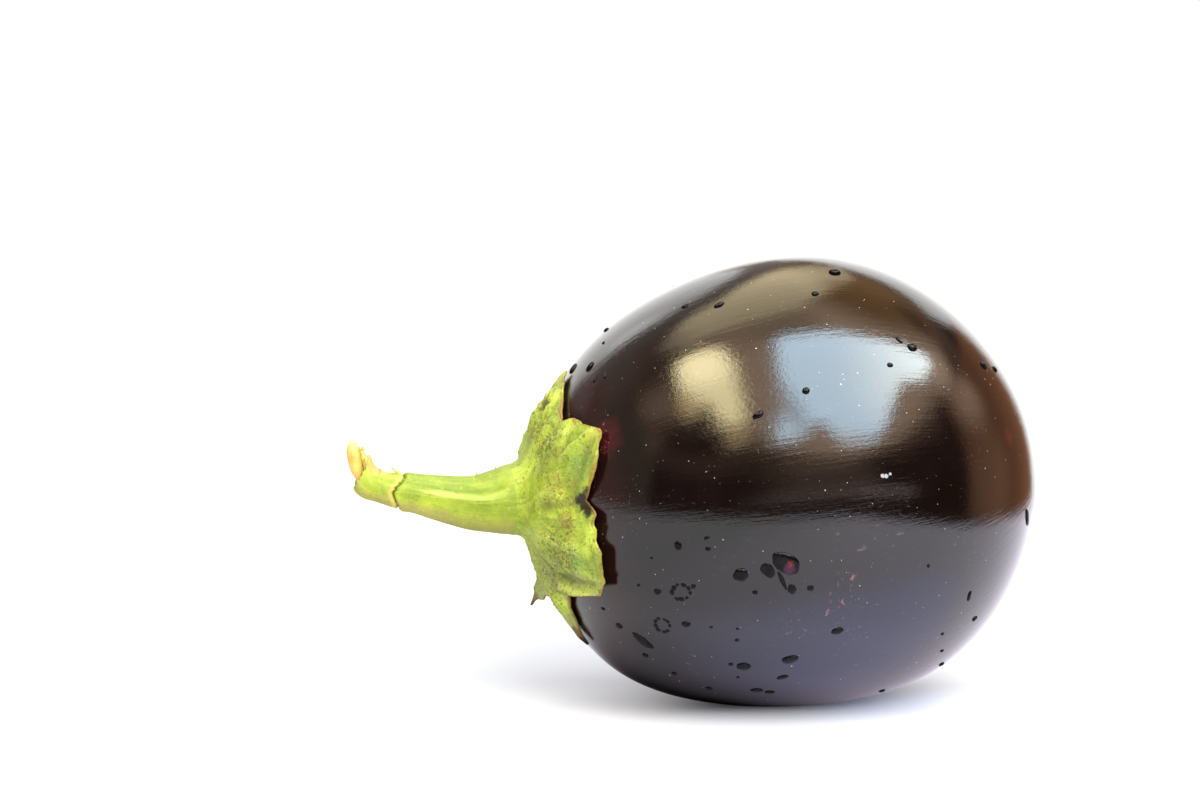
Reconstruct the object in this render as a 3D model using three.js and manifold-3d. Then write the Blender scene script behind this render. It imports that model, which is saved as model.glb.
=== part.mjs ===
// A globe eggplant lying on its side, as picked: the fruit, the green calyx with the stalk it
// grows into, and the claw of torn wood in the stalk's end. Millimetres, +Z up.
// The origin is the middle of the small flat spot that the fruit rests on. The stalk points to -X.
import * as THREE from "three";
import { mergeVertices } from "three/addons/utils/BufferGeometryUtils.js";
import Module from "manifold-3d";

const wasm = await Module();
wasm.setup();

// ---------------------------------------------------------------- driving dimensions

// The fruit is a body of revolution that departs a little from one. Along its axis its girth
// follows an oval times 1 + k1 c + k2 c^2 + k3 c^3, where c runs from 1 at the stalk to -1.
const FRUIT = {
  halfLength: 61.6,
  radius: 55.0,
  shoulder: [-0.058, 0.103, 0.136],
  sag: -0.086, // the two ends hang below the middle by this share of the radius
  ribs: 5,
  ribDepth: 0.006, // share of the radius, on the stalk half only
  ribTurn: 1.1,
  rings: 34,
  sides: 60,
};
const AXIS_DROP = THREE.MathUtils.degToRad(6); // the stalk end lies lower than the blossom end
const SCAR = { radius: 3.2, depth: 0.7 }; // where the blossom sat
const FLAT_DEPTH = 0.5; // how deep the resting spot is flattened
const REST_SHIFT = 1.28; // from the resting spot to the fruit's middle, along X

// The calyx hugs the stalk end of the fruit. Its sepals are in order round the axis, with angles in
// degrees: 0 faces the front, -Y, and 90 is up. Each has its tip and how far that is from the axis,
// how full its outline is on each side of the tip, how far its margin and its tip stand off the
// skin, and the notch that ends it.
const SEPALS = [
  { tip: 36, reach: 36.6, full: [2.4, 1.0], margin: 0.9, curl: 0.4, notch: 57, notchReach: 27.0 },
  { tip: 88, reach: 33.0, full: [0.75, 0.8], margin: 0.3, curl: 0.0, notch: 118, notchReach: 25.0 },
  { tip: 141, reach: 35.5, full: [1.4, 1.5], margin: 1.2, curl: 0.5, notch: 163, notchReach: 27.0 },
  { tip: 185, reach: 34.5, full: [1.3, 1.1], margin: 1.4, curl: 1.8, notch: 207, notchReach: 24.5 },
  { tip: 234, reach: 28.5, full: [0.6, 0.55], margin: 0.6, curl: 7.6, notch: 262, notchReach: 21.0 },
  { tip: 289, reach: 32.6, full: [0.75, 0.5], margin: 0.2, curl: 0.0, notch: 319, notchReach: 22.5 },
  { tip: 334, reach: 35.5, full: [0.85, 3.0], margin: 1.7, curl: 0.5, notch: 371, notchReach: 31.0 },
];
const SEPAL_STEPS = 5; // facets from a notch to a tip
const CALYX = {
  skinGap: 0.3,
  rootReach: 14, // inside this distance from the axis the calyx clings to the skin
  edgeThick: 0.75,
  thick: 3.3,
  thickenOver: { under: 26, above: 14 }, // from the edge inwards, until it has its full thickness
  fillet: { under: 3.0, above: 5.5 }, // how far the calyx sweeps out from the stalk's foot
};

// The stalk's line and radius. "at" is along the axis from the fruit's middle, to the front, and up.
const STALK = [
  { at: [68.0, 0.2, 4.1], r: 8.6 },
  { at: [71.8, 0.4, 4.2], r: 7.45 },
  { at: [76.5, 0.6, 4.5], r: 6.45 },
  { at: [81.0, 0.9, 5.6], r: 5.8 },
  { at: [85.8, 1.2, 7.1], r: 5.2 },
  { at: [90.5, 1.5, 8.7], r: 4.6 },
  { at: [95.0, 1.8, 10.0], r: 4.1 },
  { at: [98.8, 2.0, 11.4], r: 3.65 },
  { at: [101.5, 2.2, 13.1], r: 4.0 },
  { at: [102.4, 2.2, 16.5], r: 2.8 },
  { at: [102.4, 2.2, 19.6], r: 2.0 },
];
const RIDGE_DEPTH = 0.035; // the sepals run back along the stalk as low ridges, this share of it
const GROOVE = { angle: 14, width: 14, depth: 0.09 };
// The rind has parted where the stalk was bent. Places along the stalk are in steps of STALK.
const CRACK = { at: 6.0, width: 0.12, depth: 0.14, lip: 0.09, lipWidth: 0.45 };
const RIM = {
  at: 8.1, // where the torn rind ends
  horn: { angle: 90, width: 72, length: 1.75 }, // the strip of it left standing, towards the fruit
  teeth: { count: 9, length: 0.06 },
  wall: 0.8,
  socketDepth: 1.0,
};

// The torn wood, a claw that bends up out of the rind.
const CLAW = [
  { at: [100.7, 2.1, 11.9], r: 1.3 },
  { at: [102.3, 2.1, 13.3], r: 1.3 },
  { at: [103.7, 2.2, 15.4], r: 1.75 },
  { at: [104.1, 2.2, 17.8], r: 2.1 },
  { at: [104.35, 2.2, 20.6], r: 2.0 },
  { at: [104.3, 2.2, 22.6], r: 1.3 },
  { at: [104.1, 2.2, 23.8], r: 0.3 },
];
const CLAW_RINGS = 14;
const CLAW_SIDES = 14;
const CLAW_FLATNESS = 0.8; // its thickness over its width

// ---------------------------------------------------------------- shared geometry

const rad = THREE.MathUtils.degToRad;
const mix = THREE.MathUtils.lerp;
const clamp01 = (x) => THREE.MathUtils.clamp(x, 0, 1);
const smooth = (x) => THREE.MathUtils.smoothstep(x, 0, 1);
const range = (count) => Array.from({ length: count }, (_, i) => i);

// A point at a distance along the fruit's axis towards the stalk, to the front and up.
const local = (along, front, up) => new THREE.Vector3(-along, -front, up);

// A bell curve of an angle round the axis, 1 at its middle. The middle and width are in degrees.
function bell(angle, middle, width) {
  const off = angle - rad(middle);
  const turned = Math.atan2(Math.sin(off), Math.cos(off));
  return Math.exp(-((turned / rad(width)) ** 2));
}

// A closed skin over rings of points, with a pole at each end. Seen from the first pole's side,
// the rings turn so that the faces point out.
function loft(firstPole, rings, lastPole) {
  const sides = rings[0].length;
  const points = [firstPole, ...rings.flat(), lastPole];
  const last = points.length - 1;
  const at = (ring, side) => 1 + ring * sides + (side % sides);
  const index = [];
  for (const side of range(sides)) {
    index.push(0, at(0, side + 1), at(0, side));
    index.push(last, at(rings.length - 1, side), at(rings.length - 1, side + 1));
    for (const ring of range(rings.length - 1)) {
      index.push(at(ring, side), at(ring, side + 1), at(ring + 1, side + 1));
      index.push(at(ring, side), at(ring + 1, side + 1), at(ring + 1, side));
    }
  }
  const geometry = new THREE.BufferGeometry().setFromPoints(points);
  geometry.setIndex(index);
  geometry.computeVertexNormals();
  return geometry;
}

// A smooth line through stations, with a radius at each place and the two directions across it.
class Limb {
  constructor(stations) {
    this.steps = stations.length - 1;
    this.line = new THREE.CatmullRomCurve3(stations.map(({ at }) => local(...at)));
    this.sizes = new THREE.CatmullRomCurve3(stations.map(({ r }) => new THREE.Vector3(r, 0, 0)));
  }
  centre(place) {
    return this.line.getPoint(place / this.steps);
  }
  radius(place) {
    return this.sizes.getPoint(place / this.steps).x;
  }
  // The point at an angle round the line and a radius from it, flattened in the bend's own plane.
  point(place, angle, radius, flatness = 1) {
    const tangent = this.line.getTangent(place / this.steps);
    const front = local(0, 1, 0).addScaledVector(tangent, tangent.y).normalize();
    const up = new THREE.Vector3().crossVectors(tangent, front);
    return this.centre(place)
      .addScaledVector(front, radius * Math.cos(angle))
      .addScaledVector(up, radius * flatness * Math.sin(angle));
  }
}

// ---------------------------------------------------------------- the fruit

function fruitRadius(t, phi) {
  const c = Math.cos(t);
  const [k1, k2, k3] = FRUIT.shoulder;
  const girth = FRUIT.radius * Math.sin(t) * (1 + k1 * c + k2 * c ** 2 + k3 * c ** 3);
  const sag = 1 + FRUIT.sag * Math.sin(phi) * c ** 2;
  const ribWindow = Math.max(0, c) * Math.sin(t) ** 2;
  const ribs = 1 + FRUIT.ribDepth * ribWindow * Math.cos(FRUIT.ribs * phi + FRUIT.ribTurn);
  return girth * sag * ribs;
}

// A point on the skin. t runs from 0 at the stalk to pi at the blossom end, and phi round the axis.
function fruitPoint(t, phi) {
  const r = fruitRadius(t, phi);
  const fromBlossom = r / SCAR.radius;
  const scar = t > Math.PI / 2 ? SCAR.depth * Math.exp(-(fromBlossom ** 2)) : 0;
  return local(FRUIT.halfLength * Math.cos(t) + scar, r * Math.cos(phi), r * Math.sin(phi));
}

function fruitGeometry() {
  const { rings, sides } = FRUIT;
  const ring = (t) => range(sides).map((side) => fruitPoint(t, (2 * Math.PI * side) / sides));
  const angles = range(rings - 1).map((i) => Math.PI * (1 - (i + 1) / rings));
  const nearScar = [0.995, 0.985].map((share) => share * Math.PI);
  return loft(fruitPoint(Math.PI, 0), [...nearScar, ...angles].map(ring), fruitPoint(0, 0));
}

function toSolid(geometry) {
  const bare = geometry.clone();
  bare.deleteAttribute("normal");
  bare.deleteAttribute("uv");
  const merged = mergeVertices(bare);
  return new wasm.Manifold(
    new wasm.Mesh({
      numProp: 3,
      vertProperties: merged.attributes.position.array,
      triVerts: new Uint32Array(merged.index.array),
    }),
  );
}

function fromSolid(solid) {
  const { vertProperties, triVerts } = solid.getMesh();
  const geometry = new THREE.BufferGeometry();
  geometry.setAttribute("position", new THREE.BufferAttribute(vertProperties, 3));
  geometry.setIndex(new THREE.BufferAttribute(triVerts, 1));
  geometry.computeVertexNormals();
  return geometry;
}

// The fruit without what would lie below the surface it rests on, which leaves the flat spot.
function restingFruitGeometry(placed) {
  const size = 4 * FRUIT.halfLength;
  const ground = new THREE.BoxGeometry(size, size, size).translate(0, 0, -size / 2);
  ground.applyMatrix4(placed.matrixWorld.clone().invert());
  return fromSolid(toSolid(fruitGeometry()).subtract(toSolid(ground)));
}

// ---------------------------------------------------------------- calyx and stalk

// The sepal at an angle, and how far from its tip (0) to its notch (1) the angle lies.
function sepalAt(phi) {
  const turn = THREE.MathUtils.radToDeg(phi);
  const first = SEPALS[SEPALS.length - 1].notch - 360;
  const deg = THREE.MathUtils.euclideanModulo(turn - first, 360) + first;
  const i = SEPALS.findIndex(({ notch }) => deg <= notch);
  const sepal = SEPALS[i];
  const before = SEPALS[(i + SEPALS.length - 1) % SEPALS.length];
  const start = i ? before.notch : first;
  if (deg < sepal.tip) {
    const share = (sepal.tip - deg) / (sepal.tip - start);
    return { sepal, share, full: sepal.full[0], notchReach: before.notchReach };
  }
  const share = (deg - sepal.tip) / (sepal.notch - sepal.tip);
  return { sepal, share, full: sepal.full[1], notchReach: sepal.notchReach };
}

function edgeReach(phi) {
  const { sepal, share, full, notchReach } = sepalAt(phi);
  return mix(sepal.reach, notchReach, share ** full);
}

// How far the calyx's underside stands off the skin: its margin arches up and its tip curls.
function lift(reach, phi) {
  const { sepal, share } = sepalAt(phi);
  const { rootReach, skinGap } = CALYX;
  const toTip = clamp01((reach - rootReach) / (sepal.reach - rootReach));
  const toEdge = clamp01((reach - rootReach) / (edgeReach(phi) - rootReach));
  return skinGap + sepal.curl * (1 - share) ** 1.5 * toTip ** 2.2 + sepal.margin * toEdge ** 3;
}

// A point over the stalk end of the fruit, at a distance from the axis and a height off the skin.
function overSkin(reach, phi, height) {
  let low = 0;
  let high = Math.PI / 2;
  while (high - low > 1e-9) {
    const middle = (low + high) / 2;
    if (fruitRadius(middle, phi) < reach) low = middle;
    else high = middle;
  }
  const step = 0.01;
  const t = Math.max(low, step);
  const downhill = fruitPoint(t + step, phi).sub(fruitPoint(t - step, phi));
  const round = fruitPoint(t, phi + step).sub(fruitPoint(t, phi - step));
  const normal = new THREE.Vector3().crossVectors(downhill, round).normalize();
  return fruitPoint(low, phi).addScaledVector(normal, height);
}

// How far from the fruit's axis the stalk's foot is. The foot is a circle off that axis.
function footReach(phi) {
  const [, front, up] = STALK[0].at;
  const towards = front * Math.cos(phi) + up * Math.sin(phi);
  const aside = up * Math.cos(phi) - front * Math.sin(phi);
  return towards + Math.sqrt(STALK[0].r ** 2 - aside ** 2);
}

// A value that goes from one under the axis to another above it.
const byHeight = ({ under, above }, phi) => mix(under, above, (1 + Math.sin(phi)) / 2);

// The calyx's outer side from its edge (0) to where it starts to sweep up into the stalk (1).
function calyxTop(share, phi) {
  const edge = edgeReach(phi);
  const reach = mix(edge, footReach(phi) + byHeight(CALYX.fillet, phi), share);
  const inwards = (edge - reach) / byHeight(CALYX.thickenOver, phi);
  const thick = mix(CALYX.edgeThick, CALYX.thick, smooth(inwards));
  return overSkin(reach, phi, lift(reach, phi) + thick);
}

const stalk = new Limb(STALK);

// A point on the stalk's rind, or inside it by an inset.
function rindPoint(place, phi, inset = 0) {
  // The rings' points are spaced by the angle round the fruit's axis, also at the foot's own circle.
  const foot = local(0, ...[Math.cos(phi), Math.sin(phi)].map((x) => x * footReach(phi)));
  const angle = Math.atan2(foot.z - STALK[0].at[2], -foot.y - STALK[0].at[1]);
  const fade = smooth(place);
  const ridge = RIDGE_DEPTH * Math.cos(Math.PI * sepalAt(phi).share);
  const groove = GROOVE.depth * bell(phi, GROOVE.angle, GROOVE.width);
  const fromCrack = place - CRACK.at;
  const crack = CRACK.depth * Math.exp(-((fromCrack / CRACK.width) ** 2));
  const lip = fromCrack < 0 ? CRACK.lip * Math.exp(-((fromCrack / CRACK.lipWidth) ** 2)) : 0;
  const radius = stalk.radius(place) * (1 + fade * (ridge - groove)) * (1 - crack + lip);
  return stalk.point(place, angle, radius - inset);
}

// Where the torn rim of the rind is, at an angle.
function rimPlace(phi) {
  const { at, horn, teeth } = RIM;
  return at + horn.length * bell(phi, horn.angle, horn.width) + teeth.length * Math.cos(teeth.count * phi);
}

function calyxAngles() {
  const first = SEPALS[SEPALS.length - 1].notch - 360;
  return SEPALS.flatMap(({ tip, notch }, i) => {
    const start = i ? SEPALS[i - 1].notch : first;
    const rise = range(SEPAL_STEPS).map((k) => mix(start, tip, k / SEPAL_STEPS));
    const fall = range(SEPAL_STEPS).map((k) => mix(tip, notch, k / SEPAL_STEPS));
    return [...rise, ...fall].map(rad);
  });
}

function calyxStemGeometry() {
  const angles = calyxAngles();
  const rings = [];
  const addRing = (pointAt) => rings.push(angles.map(pointAt));
  for (const share of [0.22, 0.42, 0.58, 0.72, 0.84, 0.93, 1]) {
    addRing((phi) => {
      const reach = share * edgeReach(phi);
      return overSkin(reach, phi, lift(reach, phi));
    });
  }
  for (const share of [0, 0.12, 0.26, 0.42, 0.6, 0.8, 1]) addRing((phi) => calyxTop(share, phi));
  for (const share of [0.25, 0.5, 0.75]) {
    addRing((phi) => {
      const start = calyxTop(1, phi);
      const end = rindPoint(0, phi);
      const corner = end.clone().setX(mix(start.x, end.x, 0.2));
      return new THREE.QuadraticBezierCurve3(start, corner, end).getPoint(share);
    });
  }
  const beforeCrack = range(11).map((i) => (CRACK.at - 0.3) * (i / 10));
  const atCrack = [-0.12, -0.03, 0.03, 0.14, 0.3].map((off) => CRACK.at + off);
  for (const place of [...beforeCrack, ...atCrack]) addRing((phi) => rindPoint(place, phi));
  const lastPlain = CRACK.at + 0.3;
  for (const share of [0.2, 0.4, 0.6, 0.8, 1]) {
    addRing((phi) => rindPoint(mix(lastPlain, rimPlace(phi), share), phi));
  }
  const socketFloor = RIM.at - RIM.socketDepth;
  for (const share of [0, 0.5, 1]) {
    addRing((phi) => rindPoint(mix(rimPlace(phi), socketFloor, share), phi, RIM.wall));
  }
  return loft(overSkin(0, 0, CALYX.skinGap), rings, stalk.centre(socketFloor));
}

// ---------------------------------------------------------------- torn wood

function tornWoodGeometry() {
  const claw = new Limb(CLAW);
  const rings = range(CLAW_RINGS + 1).map((i) => {
    const place = (claw.steps * i) / CLAW_RINGS;
    const angles = range(CLAW_SIDES).map((side) => (2 * Math.PI * side) / CLAW_SIDES);
    return angles.map((angle) => claw.point(place, angle, claw.radius(place), CLAW_FLATNESS));
  });
  return loft(claw.centre(0), rings, claw.centre(claw.steps));
}

// ---------------------------------------------------------------- assembly

const skin = new THREE.MeshStandardMaterial({ color: 0x2a1420, roughness: 0.18, metalness: 0 });
const green = new THREE.MeshStandardMaterial({ color: 0xb4cc4a, roughness: 0.6, metalness: 0 });
const wood = new THREE.MeshStandardMaterial({ color: 0xe9bd62, roughness: 0.55, metalness: 0 });

function addNode(parent, name, geometry, material) {
  const mesh = new THREE.Mesh(geometry, material);
  mesh.name = name;
  parent.add(mesh);
}

// The fruit's own frame has its axis along X. On the surface it lies with the stalk end lower.
const eggplant = new THREE.Group();
const lying = new THREE.Group();
eggplant.add(lying);
lying.rotation.y = -AXIS_DROP;
lying.updateMatrixWorld(true);
const tipped = fruitGeometry().applyMatrix4(lying.matrixWorld);
tipped.computeBoundingBox();
lying.position.set(REST_SHIFT, 0, -tipped.boundingBox.min.z - FLAT_DEPTH);
lying.updateMatrixWorld(true);

addNode(lying, "fruit", restingFruitGeometry(lying), skin);
addNode(lying, "calyx_stem", calyxStemGeometry(), green);
addNode(lying, "torn_wood", tornWoodGeometry(), wood);

export default eggplant;
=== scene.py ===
# A globe eggplant that lies on its side, as picked, in a white studio. Metres, +Z up. The origin is
# the middle of the small flat spot that the fruit rests on, and the stalk points to -X.
import random
from math import acos, atan2, cos, degrees, exp, pi, radians, sin, tau

import bpy
from mathutils import Matrix, Vector, noise


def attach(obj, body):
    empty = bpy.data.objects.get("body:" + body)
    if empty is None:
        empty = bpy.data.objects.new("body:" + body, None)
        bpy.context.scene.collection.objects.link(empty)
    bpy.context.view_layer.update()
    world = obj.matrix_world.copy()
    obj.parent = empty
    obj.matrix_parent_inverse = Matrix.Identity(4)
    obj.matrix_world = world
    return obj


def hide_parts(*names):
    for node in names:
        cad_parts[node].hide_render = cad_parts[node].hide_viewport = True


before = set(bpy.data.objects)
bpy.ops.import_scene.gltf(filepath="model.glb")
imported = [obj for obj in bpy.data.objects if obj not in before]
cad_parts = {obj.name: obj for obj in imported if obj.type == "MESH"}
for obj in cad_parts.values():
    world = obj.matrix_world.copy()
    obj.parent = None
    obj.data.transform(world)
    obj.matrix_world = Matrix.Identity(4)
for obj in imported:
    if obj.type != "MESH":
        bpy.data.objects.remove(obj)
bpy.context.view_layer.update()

# ---------------------------------------------------------------- camera
# A 100 mm lens at table height, a little to the stalk's side of the fruit. It aims past the stalk,
# so that the whole eggplant sits to the right of the middle of the picture.
FRUIT_MIDDLE = Vector((0.00128, 0, 0.054388))
CAMERA_DISTANCE = 0.82
CAMERA_TURN, CAMERA_RISE = radians(-12), radians(7)
AIM_TURN, AIM_RISE = radians(-8.82), radians(5.55)


def seen_from(turn, rise):
    """The direction from the fruit to a viewer. No turn is from the front, -Y."""
    return Vector((sin(turn) * cos(rise), -cos(turn) * cos(rise), sin(rise)))


camera_data = bpy.data.cameras.new("camera")
camera_data.lens = 100
camera_data.sensor_width = 36
camera = bpy.data.objects.new("camera", camera_data)
camera.location = FRUIT_MIDDLE + seen_from(CAMERA_TURN, CAMERA_RISE) * CAMERA_DISTANCE
camera.rotation_euler = (-seen_from(AIM_TURN, AIM_RISE)).to_track_quat("-Z", "Y").to_euler()
bpy.context.collection.objects.link(camera)
bpy.context.scene.camera = camera

# ---------------------------------------------------------------- studio
# A white sheet on a table, a white backdrop and soft light from above. The panels are what the
# glossy skin reflects: a large window, a warm lamp, the ceiling and the walls of the room.
SHEET_SIZE = 8
SHEET_WHITE, BLACK = (0.8, 0.8, 0.8, 1), (0, 0, 0, 1)
CEILING = 1.05
bpy.context.scene.view_settings.view_transform = "Standard"


def srgb(red, green, blue):
    """A colour from its 0 to 255 values on screen, as the linear one that shaders take."""
    shares = [value / 255 for value in (red, green, blue)]
    return (*[s / 12.92 if s < 0.04045 else ((s + 0.055) / 1.055) ** 2.4 for s in shares], 1)


def feed(socket, value):
    """Gives a node's input a plain value, or joins it to another node's output."""
    if isinstance(value, bpy.types.NodeSocket):
        socket.id_data.links.new(value, socket)
    else:
        socket.default_value = value


def add_node(tree, kind, settings=None, **inputs):
    """A shader node. Its inputs are values or other nodes' outputs."""
    new = tree.nodes.new("ShaderNode" + kind)
    for name, value in (settings or {}).items():
        setattr(new, name, value)
    for name, value in inputs.items():
        feed(new.inputs[name.replace("_", " ")], value)
    return new


def new_material(name):
    """A material with nothing in its node tree but an output, and that output."""
    material = bpy.data.materials.new(name)
    material.use_nodes = True
    material.node_tree.nodes.clear()
    return material, material.node_tree, add_node(material.node_tree, "OutputMaterial")


def surface(tree, out, height=None, bump=(1.0, 0.001), **inputs):
    """The shader of a finish. The bump is how strong it is, and its height in metres."""
    if height is not None:
        raised = add_node(tree, "Bump", Strength=bump[0], Distance=bump[1], Height=height)
        inputs["Normal"] = raised.outputs[0]
    feed(out.inputs["Surface"], add_node(tree, "BsdfPrincipled", **inputs).outputs[0])


def sheet_material():
    """White cloth, with painted light: soft glowing patches round the fruit keep its shadow thin in front.
    """
    material, tree, out = new_material("white_sheet")
    # Painted light: the sheet glows in soft patches round the fruit to lighten its shadow.
    painted_light_in_front = ((-0.004, -0.034, 0), (0.085, 0.032, 1), 0, 0.55, (0.15, 0.15, 0.17))
    painted_light_on_right = ((0.04, -0.02, 0), (0.05, 0.035, 1), 20, 0.3, (0.2, 0.23, 0.34))
    painted_light_on_left = ((-0.045, 0.0, 0), (0.035, 0.04, 1), 0, 0.3, (0.14, 0.13, 0.12))
    weave = add_node(tree, "TexNoise", Scale=900.0, Detail=2.0).outputs["Fac"]
    surface(
        tree, out, weave, (0.05, 0.0002), Base_Color=SHEET_WHITE, Roughness=0.9,
        Specular_IOR_Level=0.1, Emission_Strength=1.0,
        Emission_Color=layered(tree, BLACK, [painted_light_in_front, painted_light_on_right, painted_light_on_left]),
    )
    return material


def panel(name, corners, material, **seen_by):
    """A flat piece of the studio from its corners. It is seen only by the kinds of ray named."""
    mesh = bpy.data.meshes.new(name)
    mesh.from_pydata(corners, [], [range(len(corners))])
    mesh.materials.append(material)
    made = bpy.data.objects.new(name, mesh)
    bpy.context.collection.objects.link(made)
    for kind in ("camera", "diffuse", "glossy", "transmission", "shadow"):
        setattr(made, "visible_" + kind, seen_by.get(kind, False))
    return made


def tree_of(values):
    """The node tree of the sockets among some values."""
    return next(value.id_data for value in values if isinstance(value, bpy.types.NodeSocket))


def math_node(operation, *values):
    """The result of one sum or function of one to three values."""
    new = add_node(tree_of(values), "Math", {"operation": operation})
    for socket, value in zip(new.inputs, values):
        feed(socket, value)
    return new.outputs[0]


def times(one, other):
    return math_node("MULTIPLY", one, other)


def times_plus(one, other, more):
    return math_node("MULTIPLY_ADD", one, other, more)


def between(value, low, high, to_low=0.0, to_high=1.0):
    """A value eased from one range into another, and held at its ends."""
    ranges = {"From Min": low, "From Max": high, "To Min": to_low, "To Max": to_high}
    smooth = {"interpolation_type": "SMOOTHSTEP"}
    return add_node(value.id_data, "MapRange", smooth, Value=value, **ranges).outputs[0]


def tinted(share, under, over):
    """A colour with a share of another over it."""
    both = add_node(share.id_data, "Mix", {"data_type": "RGBA"})
    for socket, value in ((0, share), (6, under), (7, over)):
        feed(both.inputs[socket], value)
    return both.outputs[2]


def layered(tree, base, layers):
    """A colour with soft oval patches over it: each by its centre, half widths, turn and colour."""
    place = add_node(tree, "TexCoord").outputs["Object"]
    colour = base
    for centre, widths, turn, core, over in layers:
        oval = add_node(
            tree, "Mapping", {"vector_type": "TEXTURE"}, Vector=place, Location=centre,
            Rotation=(0, 0, radians(turn)), Scale=widths,
        )
        off = add_node(tree, "VectorMath", {"operation": "LENGTH"}, Vector=oval.outputs[0])
        colour = tinted(between(off.outputs["Value"], core, 1.0, 1.0, 0.0), colour, (*over, 1))
    return colour


def glow(name, base, *layers):
    """Light of one colour, with soft patches of others. Above 1 it is brighter than white."""
    material, tree, out = new_material(name)
    light = add_node(tree, "Emission", Color=layered(tree, (*base, 1), layers), Strength=1.0)
    feed(out.inputs["Surface"], light.outputs[0])
    return material


def on_ceiling(x, y, half_x, half_y, turn, core, colour):
    """A patch for layered() that lies on the ceiling."""
    return (x, y, CEILING), (half_x, half_y, 1), turn, core, colour


def mirrored_sheet_material():
    """The sheet as the skin mirrors it, with painted shade where it meets the fruit and painted bluish
    daylight glowing on it.
    """
    material, tree, out = new_material("mirrored_sheet")
    # Painted shade darkens the mirrored sheet where it meets the fruit.
    painted_contact_shade = ((-0.01, 0.0, 0), (0.075, 0.055, 1), 0, 0.3, (0.03, 0.025, 0.025))
    daylight = ((0.32, -0.12, 0), (0.44, 0.5, 1), 0, 0.55, (1.06, 0.94, 1.2))
    near_glare = ((0.025, -0.055, 0), (0.085, 0.04, 1), -10, 0.1, (1.1, 1.15, 2.1))
    unlit = ((-0.012, 0.018, 0), (0.055, 0.05, 1), 0, 0.55, (0, 0, 0))
    surface(
        tree, out, Base_Color=layered(tree, SHEET_WHITE, [painted_contact_shade]), Roughness=0.9,
        Specular_IOR_Level=0.1, Emission_Strength=1.0,
        Emission_Color=layered(tree, BLACK, [daylight, near_glare, unlit]),
    )
    return material


half = SHEET_SIZE / 2
panel(
    "table", [(-half, -half, 0), (half, -half, 0), (half, half, 0), (-half, half, 0)],
    sheet_material(), camera=True, diffuse=True, transmission=True, shadow=True,
)
# The part of the sheet that the skin mirrors ends at the table's edge.
TABLE_EDGE = (
    (-1.0, -0.62), (-0.32, -0.5), (-0.06, -0.38), (0.09, -0.33), (0.18, -0.17), (0.28, 0.0),
    (0.3, 0.3), (0.45, 2.0), (-1.5, 2.0), (-1.5, -0.5),
)
JUST_ABOVE = 0.0002
panel(
    "table_mirrored", [(x, y, JUST_ABOVE) for x, y in TABLE_EDGE], mirrored_sheet_material(), glossy=True
)
WINDOW = (
    (-0.1, -0.1), (0.4, -0.1), (1.05, 0.1), (1.1, 0.0), (1.05, -0.3), (0.8, -0.5), (0.8, -0.9),
    (0.9, -1.5), (0.85, -2.0), (0.55, -2.2), (0.3, -2.0), (0.15, -1.5), (0.05, -1.35), (0.0, -1.45),
    (-0.15, -1.9), (-0.3, -1.95), (-0.45, -1.85), (-0.2, -0.7),
)
LAMP = (
    (-0.6, 0.05), (-0.45, 0.05), (-0.35, -0.05), (-0.35, -0.25), (-0.45, -0.8), (-0.6, -1.3),
    (-0.8, -1.75), (-0.9, -1.7), (-0.7, -0.85), (-0.65, -0.55), (-0.75, -0.7), (-0.9, -0.75),
    (-0.9, -0.55), (-0.7, -0.25),
)
BEIGE = (
    (-0.6, 0.35), (-0.4, 0.55), (-0.2, 0.65), (-0.1, 0.8), (0.2, 1.25), (0.4, 1.5), (0.55, 1.55),
    (0.5, 1.0), (0.35, 0.6), (0.05, 0.2), (-0.1, 0.15), (-0.5, 0.15),
)
STREAK = (
    (-2.2, 1.3), (-1.5, 1.25), (-0.85, 0.8), (-0.5, 0.6), (-0.3, 0.6), (-0.1, 0.8), (0.2, 1.35),
    (0.4, 1.8), (0.55, 3.3), (0.2, 3.3), (0.2, 2.25), (0.05, 1.45), (-0.2, 1.0), (-0.4, 0.95),
    (-0.7, 1.2), (-1.3, 1.95), (-2.2, 3.0),
)
CEILING_EDGE = (
    (-2.4, -3.4), (2.2, -3.4), (2.2, -0.9), (1.62, -0.7), (1.62, 0.9), (1.15, 1.05), (0.95, 1.3),
    (0.7, 1.5), (0.58, 1.8), (0.5, 2.6), (0.2, 2.2), (0.0, 1.4), (-0.2, 1.0), (-0.4, 0.95),
    (-0.6, 1.0), (-1.0, 1.3), (-2.4, 2.6),
)
JUST_BELOW = 0.01
window_light = glow(
    "window_light", (10.0, 12.6, 14.8),
    on_ceiling(1.0, -0.3, 1.0, 1.5, 0, 0.1, (16.5, 18.0, 18.0)),
    on_ceiling(0.2, -2.0, 1.2, 0.5, 0, 0.2, (8.5, 9.0, 9.2)),
    on_ceiling(-0.2, -1.0, 0.14, 1.3, 10, 0.2, (5.5, 6.0, 6.4)),
)
lamp_light = glow(
    "lamp_light", (16.0, 13.6, 7.6),
    on_ceiling(-0.5, -0.2, 0.25, 0.3, 0, 0.2, (21.0, 18.0, 10.5)),
    on_ceiling(-0.8, -1.35, 0.4, 0.5, 0, 0.3, (5.5, 3.9, 2.1)),
    on_ceiling(-0.82, -0.5, 0.18, 0.5, 0, 0.3, (6.5, 4.6, 2.2)),
)
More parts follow.
